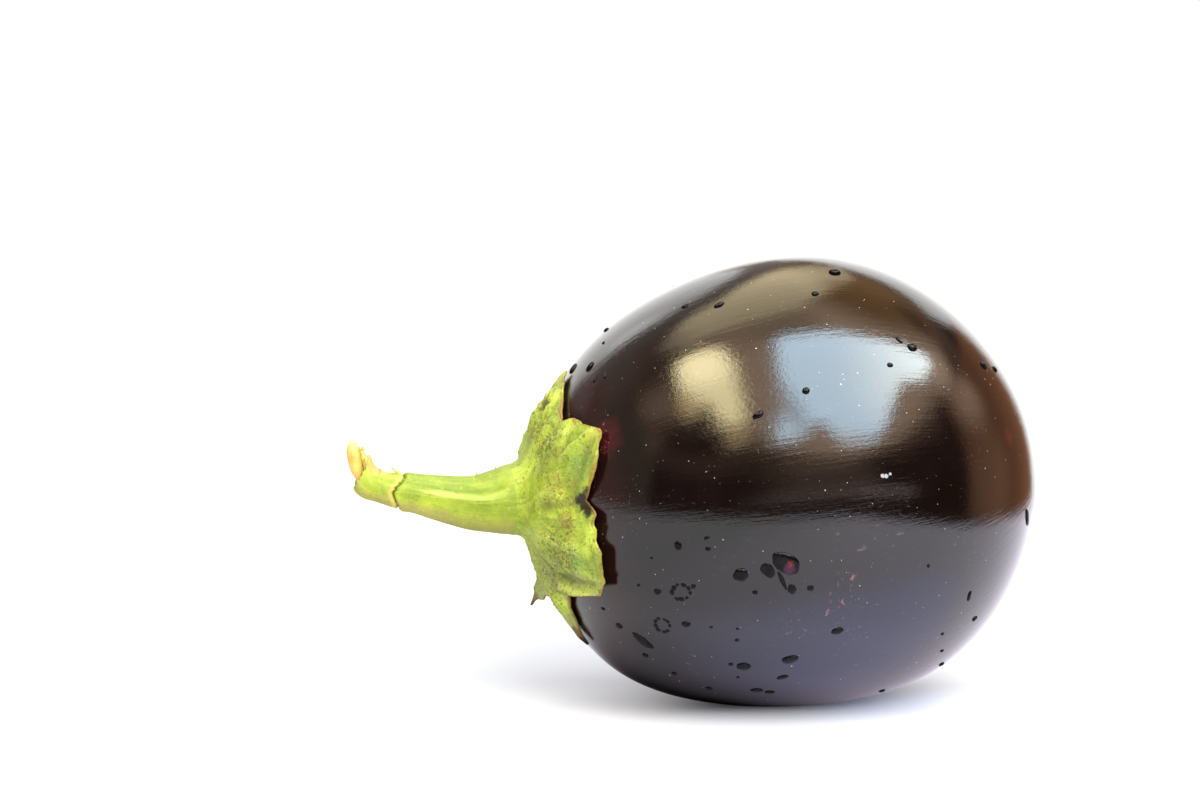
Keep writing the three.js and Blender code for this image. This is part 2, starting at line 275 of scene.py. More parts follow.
ceiling_light = glow(
    "ceiling_light", (0.42, 0.25, 0.17),
    on_ceiling(0.4, -1.2, 1.4, 2.4, 0, 0.5, (3.9, 2.7, 1.9)),
    on_ceiling(1.25, 0.0, 0.5, 0.5, 0, 0.2, (3.8, 2.7, 1.9)),
    on_ceiling(-1.2, -1.4, 0.45, 0.75, 25, 0.5, (0.12, 0.06, 0.03)),
    on_ceiling(-1.0, -0.35, 0.5, 0.5, 0, 0.2, (1.7, 1.15, 0.8)),
    on_ceiling(0.5, 0.6, 0.75, 0.8, 0, 0.3, (1.0, 0.55, 0.22)),
    on_ceiling(0.9, 0.6, 0.3, 0.3, 0, 0.2, (0.4, 0.2, 0.11)),
    on_ceiling(-0.05, 0.02, 0.3, 0.25, 0, 0.3, (2.0, 1.45, 0.95)),
    on_ceiling(-1.1, 0.55, 0.7, 0.6, 0, 0.3, (0.6, 0.42, 0.34)),
)
beige_light = glow(
    "beige_light", (3.9, 3.2, 2.0),
    on_ceiling(-0.6, 0.35, 0.3, 0.35, 0, 0.1, (1.7, 1.4, 1.0)),
    on_ceiling(0.5, 1.3, 0.5, 0.8, 0, 0.2, (1.7, 1.35, 0.85)),
    on_ceiling(0.4, 0.6, 0.25, 0.4, 0, 0.1, (1.6, 1.0, 0.5)),
)
streak_light = glow("streak_light", (0.5, 0.42, 0.37))
for name, outline, behind, material in (
    ("window", WINDOW, -JUST_BELOW, window_light), ("lamp", LAMP, -JUST_BELOW, lamp_light),
    ("beige", BEIGE, -2 * JUST_BELOW, beige_light), ("streak", STREAK, -JUST_BELOW, streak_light),
    ("ceiling", CEILING_EDGE, 0.0, ceiling_light),
):
    panel(name, [(x, y, CEILING + behind) for x, y in outline], material, glossy=True)
# The room's walls: white cloth behind, a brown cupboard on the right, and a dim room otherwise.
BACKDROP = 3.6
BACKDROP_EDGE = (
    (-2.0, -0.6), (2.9, -0.6), (2.95, 0.9), (3.0, 1.5), (3.2, 2.1), (3.5, 2.8), (3.5, 6), (-6.5, 6),
    (-6.5, 3.9), (-4.7, 3.1), (-3.3, 2.6), (-2.6, 2.1), (-2.1, 1.6),
)
panel(
    "backdrop", [(x, BACKDROP, z) for x, z in BACKDROP_EDGE],
    glow(
        "white_cloth", (1.9, 1.88, 1.85),
        ((-4.5, BACKDROP, 4.0), (2.2, 1, 2.0), 0, 0.2, (1.2, 1.1, 1.05)),
        ((-2.0, BACKDROP, 2.9), (1.3, 1, 1.1), 0, 0.2, (3.8, 3.75, 3.7)),
    ), glossy=True,
)
CUPBOARD = 1.6
CUPBOARD_EDGE = ((-0.5, -0.3), (-0.5, 1.05), (2.1, 1.05), (1.9, -0.3))
panel(
    "cupboard", [(CUPBOARD, y, z) for y, z in CUPBOARD_EDGE],
    glow(
        "brown_wood", (0.62, 0.27, 0.14),
        ((CUPBOARD, 0.0, 0.1), (1, 0.7, 0.7), 0, 0.3, (1.15, 0.58, 0.32)),
        ((CUPBOARD, 0.1, 0.85), (1, 0.6, 0.45), 0, 0.2, (2.4, 1.5, 1.0)),
        ((CUPBOARD, 2.5, 0.55), (1, 0.75, 0.42), 0, 0.2, (1.3, 1.15, 1.05)),
        ((CUPBOARD, -0.5, 0.5), (1, 0.16, 0.9), 0, 0.3, (0.3, 0.13, 0.09)),
    ), glossy=True,
)
LEFT = -1.4
LEFT_EDGE = ((-0.85, -0.1), (0.6, -0.1), (0.6, 1.05), (-0.85, 1.05))
panel(
    "wall_left", [(LEFT, y, z) for y, z in LEFT_EDGE],
    glow("grey_wall", (0.46, 0.36, 0.26), ((LEFT, -0.7, 0.95), (1, 0.3, 0.3), 0, 0.2, (0.95, 0.66, 0.46))),
    glossy=True,
)
FRONT = -3.3
FRONT_EDGE = ((-2.2, 0.12), (5.0, 0.12), (5.0, 1.3), (-2.2, 1.3))
panel(
    "room_front", [(x, FRONT, z) for x, z in FRONT_EDGE],
    glow(
        "dim_room", (0.17, 0.1, 0.08),
        ((0.2, FRONT, 0.9), (1.6, 1, 0.5), 0, 0.2, (1.1, 0.75, 0.55)),
        ((0.5, FRONT, 0.4), (1.6, 1, 0.5), 0, 0.3, (0.7, 0.48, 0.4)),
    ), glossy=True,
)
RAIL = ((-0.5, -1.2, 0.04), (1.3, -1.1, 0.02), (1.3, -1.1, 0.075), (-0.5, -1.2, 0.095))
panel(
    "rail", RAIL,
    glow(
        "grey_rail", (0.3, 0.2, 0.18), ((0.1, -1.2, 0.06), (0.6, 1, 1), 0, 0.4, (1.6, 1.28, 1.22)),
        ((0.6, -1.1, 0.05), (0.5, 1, 1), 0, 0.3, (2.6, 2.1, 2.15)),
    ), glossy=True,
)

world = bpy.data.worlds.new("studio")
bpy.context.scene.world = world
world.use_nodes = True
world.node_tree.nodes.clear()
ROOM_DARK = (0.12, 0.07, 0.045, 1)
room = world.node_tree
rays = add_node(room, "LightPath")
to_eye = add_node(room, "Background", Color=(1, 1, 1, 1), Strength=1.0)
in_gloss = add_node(room, "Background", Color=ROOM_DARK, Strength=1.0)
soft_fill = add_node(room, "Background", Color=(0.97, 0.98, 1.04, 1), Strength=1.35)
gloss_or_fill = add_node(room, "MixShader", Fac=rays.outputs["Is Glossy Ray"])
all_rays = add_node(room, "MixShader", Fac=rays.outputs["Is Camera Ray"])
sky = add_node(room, "OutputWorld")
for source, socket in (
    (soft_fill, gloss_or_fill.inputs[1]), (in_gloss, gloss_or_fill.inputs[2]),
    (gloss_or_fill, all_rays.inputs[1]), (to_eye, all_rays.inputs[2]),
    (all_rays, sky.inputs["Surface"]),
):
    feed(socket, source.outputs[0])


def soft_light(name, place, size, power, colour=(1, 1, 1)):
    """A square light that points at the fruit and doesn't show in its gloss."""
    data = bpy.data.lights.new(name, "AREA")
    data.size = size
    data.energy = power
    data.color = colour
    light = bpy.data.objects.new(name, data)
    light.location = place
    light.rotation_euler = (FRUIT_MIDDLE - Vector(place)).to_track_quat("-Z", "Y").to_euler()
    light.visible_camera = False
    light.visible_glossy = False
    bpy.context.collection.objects.link(light)


soft_light("key", (0.35, -1.5, 1.25), 1.3, 40, (1.0, 0.99, 0.96))

# ---------------------------------------------------------------- fruit
# The fruit is one solid globe. Its skin is taut, waxy and near black, with fine scuffs along its
# length, and a dry scar where the blossom sat.
AXIS_DROP = radians(6)  # the stalk end lies lower than the blossom end
LYING = Matrix.Translation(FRUIT_MIDDLE) @ Matrix.Rotation(-AXIS_DROP, 4, "Y")
UPRIGHT = LYING.inverted()
HALF_LENGTH = 0.0616
RADIUS = 0.055
SHOULDER = (-0.058, 0.103, 0.136)
SAG = -0.086
RIBS, RIB_DEPTH, RIB_TURN = 5, 0.006, 1.1
SCAR_RADIUS, SCAR_DEPTH = 0.0032, 0.0007
SKIN_SEGMENTS, SKIN_RINGS = 300, 220
SWELL_SIZE, SWELL_HEIGHT = 0.013, 0.00005  # how far apart and how high the skin's slow swells are


def girth(t, phi):
    """How far the skin is from the fruit's axis. t is 0 at the stalk and pi at the blossom end."""
    c = cos(t)
    oval = RADIUS * sin(t) * (1 + SHOULDER[0] * c + SHOULDER[1] * c**2 + SHOULDER[2] * c**3)
    ribs = 1 + RIB_DEPTH * max(0, c) * sin(t) ** 2 * cos(RIBS * phi + RIB_TURN)
    return oval * (1 + SAG * sin(phi) * c**2) * ribs


def placed(along, front, up):
    """The place of a point along the fruit's axis towards the stalk, to the front, and up."""
    return LYING @ Vector((-along, -front, up))


def skin_place(t, phi, sunk=0.0):
    reach = girth(t, phi)
    scar = SCAR_DEPTH * exp(-((reach / SCAR_RADIUS) ** 2)) if t > pi / 2 else 0
    reach -= sunk
    return placed(HALF_LENGTH * cos(t) + scar, reach * cos(phi), reach * sin(phi))


def skin_normal(t, phi):
    step = 0.001
    downhill = skin_place(t + step, phi) - skin_place(t - step, phi)
    around = skin_place(t, phi + step) - skin_place(t, phi - step)
    return downhill.cross(around).normalized()


def select_only(piece):
    for other in bpy.context.selected_objects:
        other.select_set(False)
    piece.select_set(True)
    bpy.context.view_layer.objects.active = piece


def smooth_closed(piece):
    """Turns every face of a closed piece outwards, and shades it smooth."""
    select_only(piece)
    bpy.ops.object.mode_set(mode="EDIT")
    bpy.ops.mesh.select_all(action="SELECT")
    bpy.ops.mesh.normals_make_consistent(inside=False)
    bpy.ops.object.mode_set(mode="OBJECT")
    select_only(piece)
    bpy.ops.object.shade_smooth()


def polar(vertex):
    """The two angles of a vertex of a ball: from its top, and round its middle."""
    direction = vertex.co.normalized()
    return acos(max(-1, min(1, direction.z))), atan2(direction.y, direction.x)


bpy.ops.mesh.primitive_uv_sphere_add(segments=SKIN_SEGMENTS, ring_count=SKIN_RINGS, radius=1)
fruit = bpy.context.object
fruit.name = "fruit_skin"
grain = fruit.data.attributes.new("grain", "FLOAT_VECTOR", "POINT")
for vertex in fruit.data.vertices:
    t, phi = polar(vertex)
    way = Vector((t, sin(phi) * sin(t), cos(phi) * sin(t)))
    place = skin_place(t, phi, -SWELL_HEIGHT * noise.noise(way * RADIUS / SWELL_SIZE))
    place.z = max(0, place.z)
    vertex.co = place
    grain.data[vertex.index].vector = (t, cos(phi), sin(phi))
smooth_closed(fruit)


def cloudy(vector, scale, detail=3.0, roughness=0.5, distortion=0.0):
    """Soft noise from 0 to 1."""
    made = add_node(
        vector.id_data, "TexNoise", Vector=vector, Scale=scale, Detail=detail, Roughness=roughness,
        Distortion=distortion,
    )
    return made.outputs["Fac"]


def stretched(vector, x, y, z):
    """A pattern's coordinates scaled by themselves along each direction."""
    return add_node(vector.id_data, "Mapping", Vector=vector, Scale=(x, y, z)).outputs[0]


def new_group(name, **inputs):
    """A node group with one mask as its output, and inputs by their names and first values."""
    group = bpy.data.node_groups.new(name, "ShaderNodeTree")
    for label, value in inputs.items():
        kind = "Float" if isinstance(value, float) else "Vector"
        socket = group.interface.new_socket(label, in_out="INPUT", socket_type="NodeSocket" + kind)
        socket.default_value = value
    group.interface.new_socket("Mask", in_out="OUTPUT", socket_type="NodeSocketFloat")
    start = group.nodes.new("NodeGroupInput")
    end = group.nodes.new("NodeGroupOutput")
    return group, start.outputs, end.inputs["Mask"]


def speck_group():
    """Small round specks, one to a cell and only in a share of the cells."""
    group, given, result = new_group("specks", Vector=(0, 0, 0), Spacing=0.003, Size=0.1, Share=0.5)
    cells = add_node(
        group, "TexVoronoi", Vector=given["Vector"], Scale=math_node("DIVIDE", 1.0, given["Spacing"]),
        Randomness=1.0,
    )
    pick = add_node(group, "SeparateColor", Color=cells.outputs["Color"]).outputs[0]
    near = math_node("LESS_THAN", cells.outputs["Distance"], times(given["Size"], pick))
    chosen = math_node("GREATER_THAN", pick, math_node("SUBTRACT", 1.0, given["Share"]))
    feed(result, times(near, chosen))
    return group


def patch_group():
    """One ragged patch round a place."""
    group, given, result = new_group(
        "patch", Vector=(0, 0, 0), Centre=(0, 0, 0), Radius=0.005, Ragged=0.5, Soft=0.4
    )
    off = add_node(group, "VectorMath", {"operation": "DISTANCE"})
    feed(off.inputs[0], given["Vector"])
    feed(off.inputs[1], given["Centre"])
    share = math_node("DIVIDE", off.outputs["Value"], given["Radius"])
    finer = math_node("DIVIDE", 2.5, given["Radius"])
    ripple = math_node("SUBTRACT", cloudy(given["Vector"], finer, 4.0, 0.6), 0.5)
    edge = times_plus(ripple, times(given["Ragged"], 2.0), share)
    inner = math_node("SUBTRACT", 1.0, given["Soft"])
    feed(result, between(edge, inner, 1.0, 1.0, 0.0))
    return group


SPECKS, PATCH = speck_group(), patch_group()


def specks(vector, spacing, size, share):
    return add_node(
        vector.id_data, "Group", {"node_tree": SPECKS}, Vector=vector, Spacing=spacing, Size=size,
        Share=share,
    ).outputs[0]


def patch(vector, centre, radius, ragged=0.5, soft=0.4):
    return add_node(
        vector.id_data, "Group", {"node_tree": PATCH}, Vector=vector, Centre=centre, Radius=radius,
        Ragged=ragged, Soft=soft,
    ).outputs[0]


def strongest(*masks):
    """Several masks as one."""
    whole = masks[0]
    for mask in masks[1:]:
        whole = math_node("MAXIMUM", whole, mask)
    return whole


def coordinates(tree):
    """The place on the object, for patterns that stay with it."""
    return add_node(tree, "TexCoord").outputs["Object"]


def attribute(tree, name, output="Fac"):
    return add_node(tree, "Attribute", {"attribute_name": name}).outputs[output]


def on_skin(place, spot, ragged, soft):
    """A patch on the skin: degrees from the stalk end, degrees up from the front, and its radius."""
    t, phi, radius = spot[:3]
    return patch(place, skin_place(radians(t), radians(phi)), radius, ragged, soft)


# Marks on the skin: degrees from the stalk end, degrees up from the front, and radius. A blush has
# a strength too. The first blush is where the upper front sepal rubs, with the pinkish rub marks.
SCUFFS = [(81, -31, 0.005), (90, -26, 0.007), (92, -33, 0.005), (96, -37, 0.0065), (92, -18, 0.004)]
BLUSHES = [(40, 33, 0.0062, 0.8), (142, 15, 0.003, 0.6), (149, 35, 0.003, 0.5)]
RUB_MARKS = [(40.3, 39, 0.0009), (40.0, 36, 0.0008), (39.5, 32, 0.0009), (38.6, 29, 0.0012)]
# A short scratch on the wax, painted pale as a highlight on it.
PAINTED_GLINT_DASH = [(101.6, 6.9, 0.00055), (102.4, 6.7, 0.0006), (103.4, 7.1, 0.0004)]
# Dust: how far apart its specks are, their size as a share of that, and how many places have one.
COARSE_DUST, DUST, FINE_DUST = (0.0045, 0.045, 0.7), (0.0018, 0.075, 0.4), (0.0011, 0.07, 0.3)


def skin_material():
    material, tree, out = new_material("eggplant_skin")
    place = coordinates(tree)
    along = attribute(tree, "grain", "Vector")
    streaks = cloudy(stretched(along, 3.0, 42.0, 42.0), 1.0, 5.0, 0.62)
    hairs = cloudy(stretched(along, 14.0, 170.0, 170.0), 1.0, 3.0, 0.6)
    clouds = cloudy(place, 38.0, 4.0, 0.55)
    colour = tinted(between(clouds, 0.4, 0.7), srgb(6, 3, 2), srgb(12, 6, 7))
    # The skin that the calyx shaded has stayed purple-red.
    from_stalk = add_node(tree, "SeparateXYZ", Vector=along).outputs["X"]
    shaded = between(times_plus(streaks, 0.35, from_stalk), 0.8, 0.98, 0.5, 0.0)
    colour = tinted(shaded, colour, srgb(40, 10, 16))
    scuffed = strongest(*[on_skin(place, spot, 0.7, 0.8) for spot in SCUFFS])
    scratch = between(cloudy(stretched(place, 900.0, 700.0, 420.0), 1.0, 4.0, 0.7), 0.58, 0.7)
    colour = tinted(times(scuffed, scratch), colour, srgb(120, 78, 80))
    for spot in BLUSHES:
        colour = tinted(times(on_skin(place, spot, 0.5, 0.8), spot[3]), colour, srgb(62, 12, 20))
    rubbed = times(between(cloudy(place, 1900.0, 4.0, 0.7), 0.5, 0.64), 0.6)
    for spot in RUB_MARKS:
        colour = tinted(times(on_skin(place, spot, 0.9, 0.7), rubbed), colour, srgb(168, 96, 92))
    # Painted highlight: the short scratch is painted pale where it catches the light.
    glint_dash = strongest(*[on_skin(place, spot, 0.5, 0.4) for spot in PAINTED_GLINT_DASH])
    colour = tinted(times(glint_dash, 0.8), colour, srgb(176, 178, 184))
    faint = times(specks(place, *FINE_DUST), 0.55)
    dust = strongest(specks(place, *DUST), specks(place, *COARSE_DUST), faint)
    colour = tinted(times(dust, 0.7), colour, srgb(190, 182, 170))
    # Fine pale scratches lie in a few drifts over the wax.
    drifts = between(cloudy(place, 60.0, 3.0), 0.5, 0.66)
    across = cloudy(stretched(place, 260.0, 1500.0, 900.0), 1.0, 3.0, 0.7)
    scratches = times(between(across, 0.62, 0.72, 0.0, 0.2), drifts)
    colour = tinted(scratches, colour, srgb(150, 136, 130))
    # The blossom's scar is dry cork.
    scar = patch(place, skin_place(pi, 0), SCAR_RADIUS, 0.35, 0.3)
    cork = tinted(cloudy(place, 1500.0, 4.0, 0.7), srgb(60, 42, 26), srgb(150, 120, 82))
    colour = tinted(scar, colour, cork)
    dull = strongest(scar, times(dust, 0.5))
    roughness = times_plus(dull, 0.45, times_plus(streaks, 0.1, 0.045))
    height = times_plus(streaks, 1.0, times(hairs, 0.3))
    height = times_plus(cloudy(place, 950.0, 4.0, 0.6, 0.6), 0.75, height)
    surface(tree, out, height, (0.45, 0.00008), Base_Color=colour, Roughness=roughness, IOR=1.5)
    return material


fruit.data.materials.append(skin_material())
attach(fruit, "root")
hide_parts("fruit")

# ---------------------------------------------------------------- water drops
# The fruit was rinsed, and water still beads on its wax in low domes. Over the near-black skin a
# drop looks black, as clear water does there, and it mirrors the room more faintly than the wax.
# Each drop: degrees from the stalk end, degrees up from the front, length, width, turn, height.
FRONT_DROPS = [
    (79, -12, 7.4, 4.6, -38, 0.75), (75, -13.5, 4.2, 3.0, -55, 0.3), (78, -16.5, 5.2, 1.1, -70, 0.12),
    (80, -19, 2.7, 1.9, -80, 0.45), (84, -19, 1.7, 1.5, 0, 0.4), (72, -19.5, 1.4, 1.1, 0, 0.35),
    (69, -14.5, 3.6, 3.2, 10, 0.7), (49, -21, 1.9, 1.6, 30, 0.35), (55, -6, 2.4, 1.7, 95, 0.4),
    (62, -4, 1.7, 0.8, 20, 0.3), (62, -7, 1.4, 1.0, 0, 0.35), (48, -10, 0.8, 0.6, 0, 0.2),
    (44, -20, 1.0, 0.7, 40, 0.25), (58, -18, 1.3, 1.1, 60, 0.35), (56, -31, 2.4, 1.6, 10, 0.4),
    (38, -41, 2.1, 1.6, 30, 0.4), (45, -43, 6.0, 2.5, -28, 0.4), (33, -37, 1.3, 0.9, 20, 0.3),
    (62, -31, 0.9, 0.7, 0, 0.25), (68, -31, 0.8, 0.7, 0, 0.25), (68, -35, 1.1, 0.9, 0, 0.3),
    (70, -45.5, 3.5, 2.7, 0, 0.6), (67, -45, 1.2, 1.0, 0, 0.3), (69, -51, 0.8, 0.7, 0, 0.25),
    (80, -42, 4.2, 2.5, 20, 0.55), (79, -50, 2.9, 1.4, 22, 0.4), (90, -32.5, 3.0, 1.9, 15, 0.5),
    (74, -58, 3.2, 1.6, 0, 0.4), (77, -59, 2.6, 1.3, 0, 0.35), (104, -68, 1.7, 1.2, 0, 0.35),
    (123, -33, 3.0, 1.1, 78, 0.4), (126, -45, 1.6, 1.3, 0, 0.4), (116, -43, 0.9, 0.7, 0, 0.3),
    (117, -52, 1.0, 0.8, 0, 0.3), (119, -64, 1.6, 1.3, 0, 0.4), (111, -18, 1.1, 0.7, 90, 0.3),
    (149, -23, 5.5, 1.5, 100, 0.45), (103, 71, 2.9, 2.3, 0, 0.85), (96, 60, 1.8, 1.5, 0, 0.55),
    (75, 64, 2.7, 1.4, 12, 0.6), (68, 70, 1.9, 1.2, 15, 0.45), (50, 93, 1.5, 1.1, 0, 0.45),
    (41, 72, 2.9, 1.5, 25, 0.6), (37, 88, 2.9, 1.6, 20, 0.6), (41, 62, 2.2, 0.9, 50, 0.35),
    (44, 59, 1.8, 0.7, 60, 0.3), (47, 80, 0.9, 0.7, 20, 0.3), (115, 41, 2.5, 2.0, -15, 0.75),
    (112, 43, 2.1, 0.7, -50, 0.35), (108, 35, 1.5, 1.2, 0, 0.5), (88, 30, 1.8, 1.7, 0, 0.6),
    (77, 26, 3.0, 1.5, 22, 0.65), (138, 44, 2.4, 1.4, -30, 0.6), (144, 48, 1.7, 1.0, -40, 0.4),
    (46, -50, 1.5, 1.1, 0, 0.4), (54, -55, 1.3, 1.0, 0, 0.35), (63, -60, 1.6, 1.1, 0, 0.4),
]
# Where a drop has dried back to a ring of beads: its middle and its radius in millimetres.
DRIED_DROPS = [(55, -20, 2.1), (50, -33, 1.9)]
BEADS_IN_A_RING = 9
BEAD_SIZES = (0.7, 1.3)
# The drops on the side away from the front are strewn within these angles, with these sizes.
HIDDEN_DROPS = 46
HIDDEN_ALONG, HIDDEN_ROUND = (50, 160), (100, 235)
HIDDEN_SIZES = (0.8, 1.1, 1.4, 1.8, 2.4, 3.2)
DROP_SUNK = 0.3  # the share of its height that a drop's underside reaches into the skin
DROP_UNEVEN = 0.16
WATER_SHEEN = 1.2  # the index of refraction that gives a wet dome its faint reflection

bpy.ops.mesh.primitive_uv_sphere_add(segments=24, ring_count=14, radius=1)
master_drop = bpy.context.object
for vertex in master_drop.data.vertices:
    # The top is a low dome with steep sides, and the rest is hidden in the skin.
    vertex.co.z = vertex.co.z**0.75 if vertex.co.z > 0 else vertex.co.z * DROP_SUNK


def drop_on_skin(number, t, phi, length, width, turn, height):
    """A copy of the drop on the skin, with sizes in millimetres and angles in degrees."""
    t, phi, turn = radians(t), radians(phi), radians(turn)
    out = skin_normal(t, phi)
    along = (skin_place(t + 0.01, phi) - skin_place(t - 0.01, phi)).normalized()
    around = out.cross(along)
    mesh = master_drop.data.copy()
    for vertex in mesh.vertices:
        x, y, z = vertex.co
        angle = atan2(y, x)
        lump = 1 + DROP_UNEVEN * noise.noise(Vector((cos(angle) * 1.3, sin(angle) * 1.3, number * 7.7)))
        lump += DROP_UNEVEN * 0.5 * noise.noise(Vector((cos(angle) * 3, sin(angle) * 3, number * 3.1)))
        x, y = x * length * lump / 2000, y * width * lump / 2000
        right, up = x * cos(turn) - y * sin(turn), x * sin(turn) + y * cos(turn)
        fall = (right**2 + up**2) / (2 * RADIUS)
        vertex.co = skin_place(t, phi) + along * right + around * up + out * (z * height / 1000 - fall)
    piece = bpy.data.objects.new("drop", mesh)
    bpy.context.collection.objects.link(piece)
    return piece


placed_drops = list(FRONT_DROPS)
draw = random.Random(7)
for middle_t, middle_phi, reach in DRIED_DROPS:
    for bead in range(BEADS_IN_A_RING):
        way = tau * (bead + draw.uniform(-0.3, 0.3)) / BEADS_IN_A_RING
        size = draw.uniform(*BEAD_SIZES)
        step = degrees(reach * draw.uniform(0.85, 1.1) / 1000 / RADIUS)
        placed_drops.append((
            middle_t + step * cos(way), middle_phi + step * sin(way) / sin(radians(middle_t)),
            size * 1.3, size, degrees(way) + 90, 0.2,
        ))
for _ in range(HIDDEN_DROPS):
    size = draw.choice(HIDDEN_SIZES) * draw.uniform(0.85, 1.2)
    placed_drops.append((
        draw.uniform(*HIDDEN_ALONG), draw.uniform(*HIDDEN_ROUND), size * draw.uniform(1, 1.5), size,
        draw.uniform(-90, 90), 0.14 + 0.2 * size,
    ))


def joined(name, pieces):
    """Several pieces as one smooth one."""
    select_only(pieces[0])
    for piece in pieces[1:]:
        piece.select_set(True)
    bpy.ops.object.join()
    whole = bpy.context.object
    whole.name = name
    smooth_closed(whole)
    return whole


drop_pieces = [drop_on_skin(number, *drop) for number, drop in enumerate(placed_drops)]
select_only(master_drop)
bpy.ops.object.delete()
water = joined("water_drops", drop_pieces)


# A painted glint: the largest drop's colour is painted with the light it gathers on its lower side, where
# the skin's own red shows.
PAINTED_DROP_GLINT = [
    ((79.6, -13.2, 0.0019), srgb(58, 34, 50)), ((79.8, -12.0, 0.0012), srgb(110, 40, 26)),
    ((79.4, -11.6, 0.0006), srgb(226, 158, 106)),
]


def water_material():
    material, tree, out = new_material("water_over_skin")
    place = coordinates(tree)
    depth = cloudy(place, 700.0, 3.0, 0.5)
    colour = tinted(between(depth, 0.35, 0.7), srgb(5, 4, 4), srgb(20, 14, 16))
    # The painted glint goes into the drop's own colour.
    for spot, glint_colour in PAINTED_DROP_GLINT:
        colour = tinted(on_skin(place, spot, 0.45, 0.5), colour, glint_colour)
    surface(
        tree, out, Base_Color=colour, IOR=WATER_SHEEN, Roughness=between(depth, 0.3, 0.7, 0.015, 0.05)
    )
    return material


water.data.materials.clear()
water.data.materials.append(water_material())
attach(water, "root")

# ---------------------------------------------------------------- calyx and stalk
# The green calyx hugs the shoulder of the fruit with seven pointed sepals, and it grows into the
# stalk in one piece. The rind has parted near the stalk's end, where it was torn off the plant.
# Sepals go round the axis: 0 degrees faces the front and 90 is up. "full" is how full the outline
# is on each side of the tip. The margin and the tip stand off the skin.
SEPALS = [
    {"tip": 36, "reach": 0.0366, "full": (2.4, 1.0), "margin": 0.0009, "curl": 0.0004,
     "notch": 57, "notch_reach": 0.0270},
    {"tip": 88, "reach": 0.0330, "full": (0.75, 0.8), "margin": 0.0003, "curl": 0.0,
     "notch": 118, "notch_reach": 0.0250},
    {"tip": 141, "reach": 0.0355, "full": (1.4, 1.5), "margin": 0.0012, "curl": 0.0005,
     "notch": 163, "notch_reach": 0.0270},
    {"tip": 185, "reach": 0.0345, "full": (1.3, 1.1), "margin": 0.0014, "curl": 0.0018,
     "notch": 207, "notch_reach": 0.0245},
    {"tip": 234, "reach": 0.0285, "full": (0.6, 0.55), "margin": 0.0006, "curl": 0.0076,
     "notch": 262, "notch_reach": 0.0210},
    {"tip": 289, "reach": 0.0326, "full": (0.75, 0.5), "margin": 0.0002, "curl": 0.0,
     "notch": 319, "notch_reach": 0.0225},
    {"tip": 334, "reach": 0.0355, "full": (0.85, 3.0), "margin": 0.0017, "curl": 0.0005,
     "notch": 371, "notch_reach": 0.0310},
]
SKIN_GAP = 0.0003
ROOT_REACH = 0.014  # inside this distance from the axis the calyx clings to the skin
EDGE_THICK, CALYX_THICK = 0.00075, 0.0033
THICKEN_UNDER, THICKEN_ABOVE = 0.026, 0.014
FILLET_UNDER, FILLET_ABOVE = 0.003, 0.0055
# The stalk's line as places along the fruit's axis, to the front and up, and its radius at each.
STALK = [
    ((0.0680, 0.0002, 0.0041), 0.0086), ((0.0718, 0.0004, 0.0042), 0.00745),
    ((0.0765, 0.0006, 0.0045), 0.00645), ((0.0810, 0.0009, 0.0056), 0.0058),
    ((0.0858, 0.0012, 0.0071), 0.0052), ((0.0905, 0.0015, 0.0087), 0.0046),
    ((0.0950, 0.0018, 0.0100), 0.0041), ((0.0988, 0.0020, 0.0114), 0.00365),
    ((0.1015, 0.0022, 0.0131), 0.0040), ((0.1024, 0.0022, 0.0165), 0.0028),
    ((0.1024, 0.0022, 0.0196), 0.0020),
]
RIDGE_DEPTH = 0.035
# A groove and a crest run along the stalk, by the angle round it.
GROOVE_ANGLE, GROOVE_WIDTH, GROOVE_DEPTH = radians(33), radians(9), 0.1
CREST_ANGLE, CREST_WIDTH, CREST_HEIGHT = radians(17), radians(11), 0.05
CRACK_AT, CRACK_WIDTH, CRACK_DEPTH = 5.75, 0.09, 0.2
CRACK_BULGE, CRACK_LEAP = (radians(-5), radians(42)), 0.5  # the crack leaps towards the end in front
LIP_HEIGHT, LIP_WIDTH = 0.09, 0.45
RIM_AT, HORN_ANGLE, HORN_WIDTH, HORN_LENGTH = 8.1, radians(90), radians(72), 1.75
RIND_WALL, SOCKET_DEPTH, RIM_CROWN = 0.0008, 1.0, 0.05
VEIN_HEIGHT, VEIN_WIDTH = 0.00028, 0.0009
PUCKER_HEIGHT, WRINKLE_HEIGHT = 0.0007, 0.0006
# What is ragged or uneven is layers of noise, each by its frequency and its height. Those that run
# along something have two frequencies, round it and along it.
EDGE_WAVES = ((6, 0.0012), (16, 0.0004), (45, 0.00018))
CRACK_WAVES, RIM_WAVES = ((4, 0.1), (13, 0.07)), ((4, 0.1), (11, 0.14))
FINE_WRINKLES = ((900, 0.6), (2200, 0.4))
PUCKERS, WRINKLES = ((10, 160, 1.0),), ((24, 330, 1.0),)
STALK_GROOVES = ((3.2, 0.25, 0.03), (9, 0.5, 0.014))
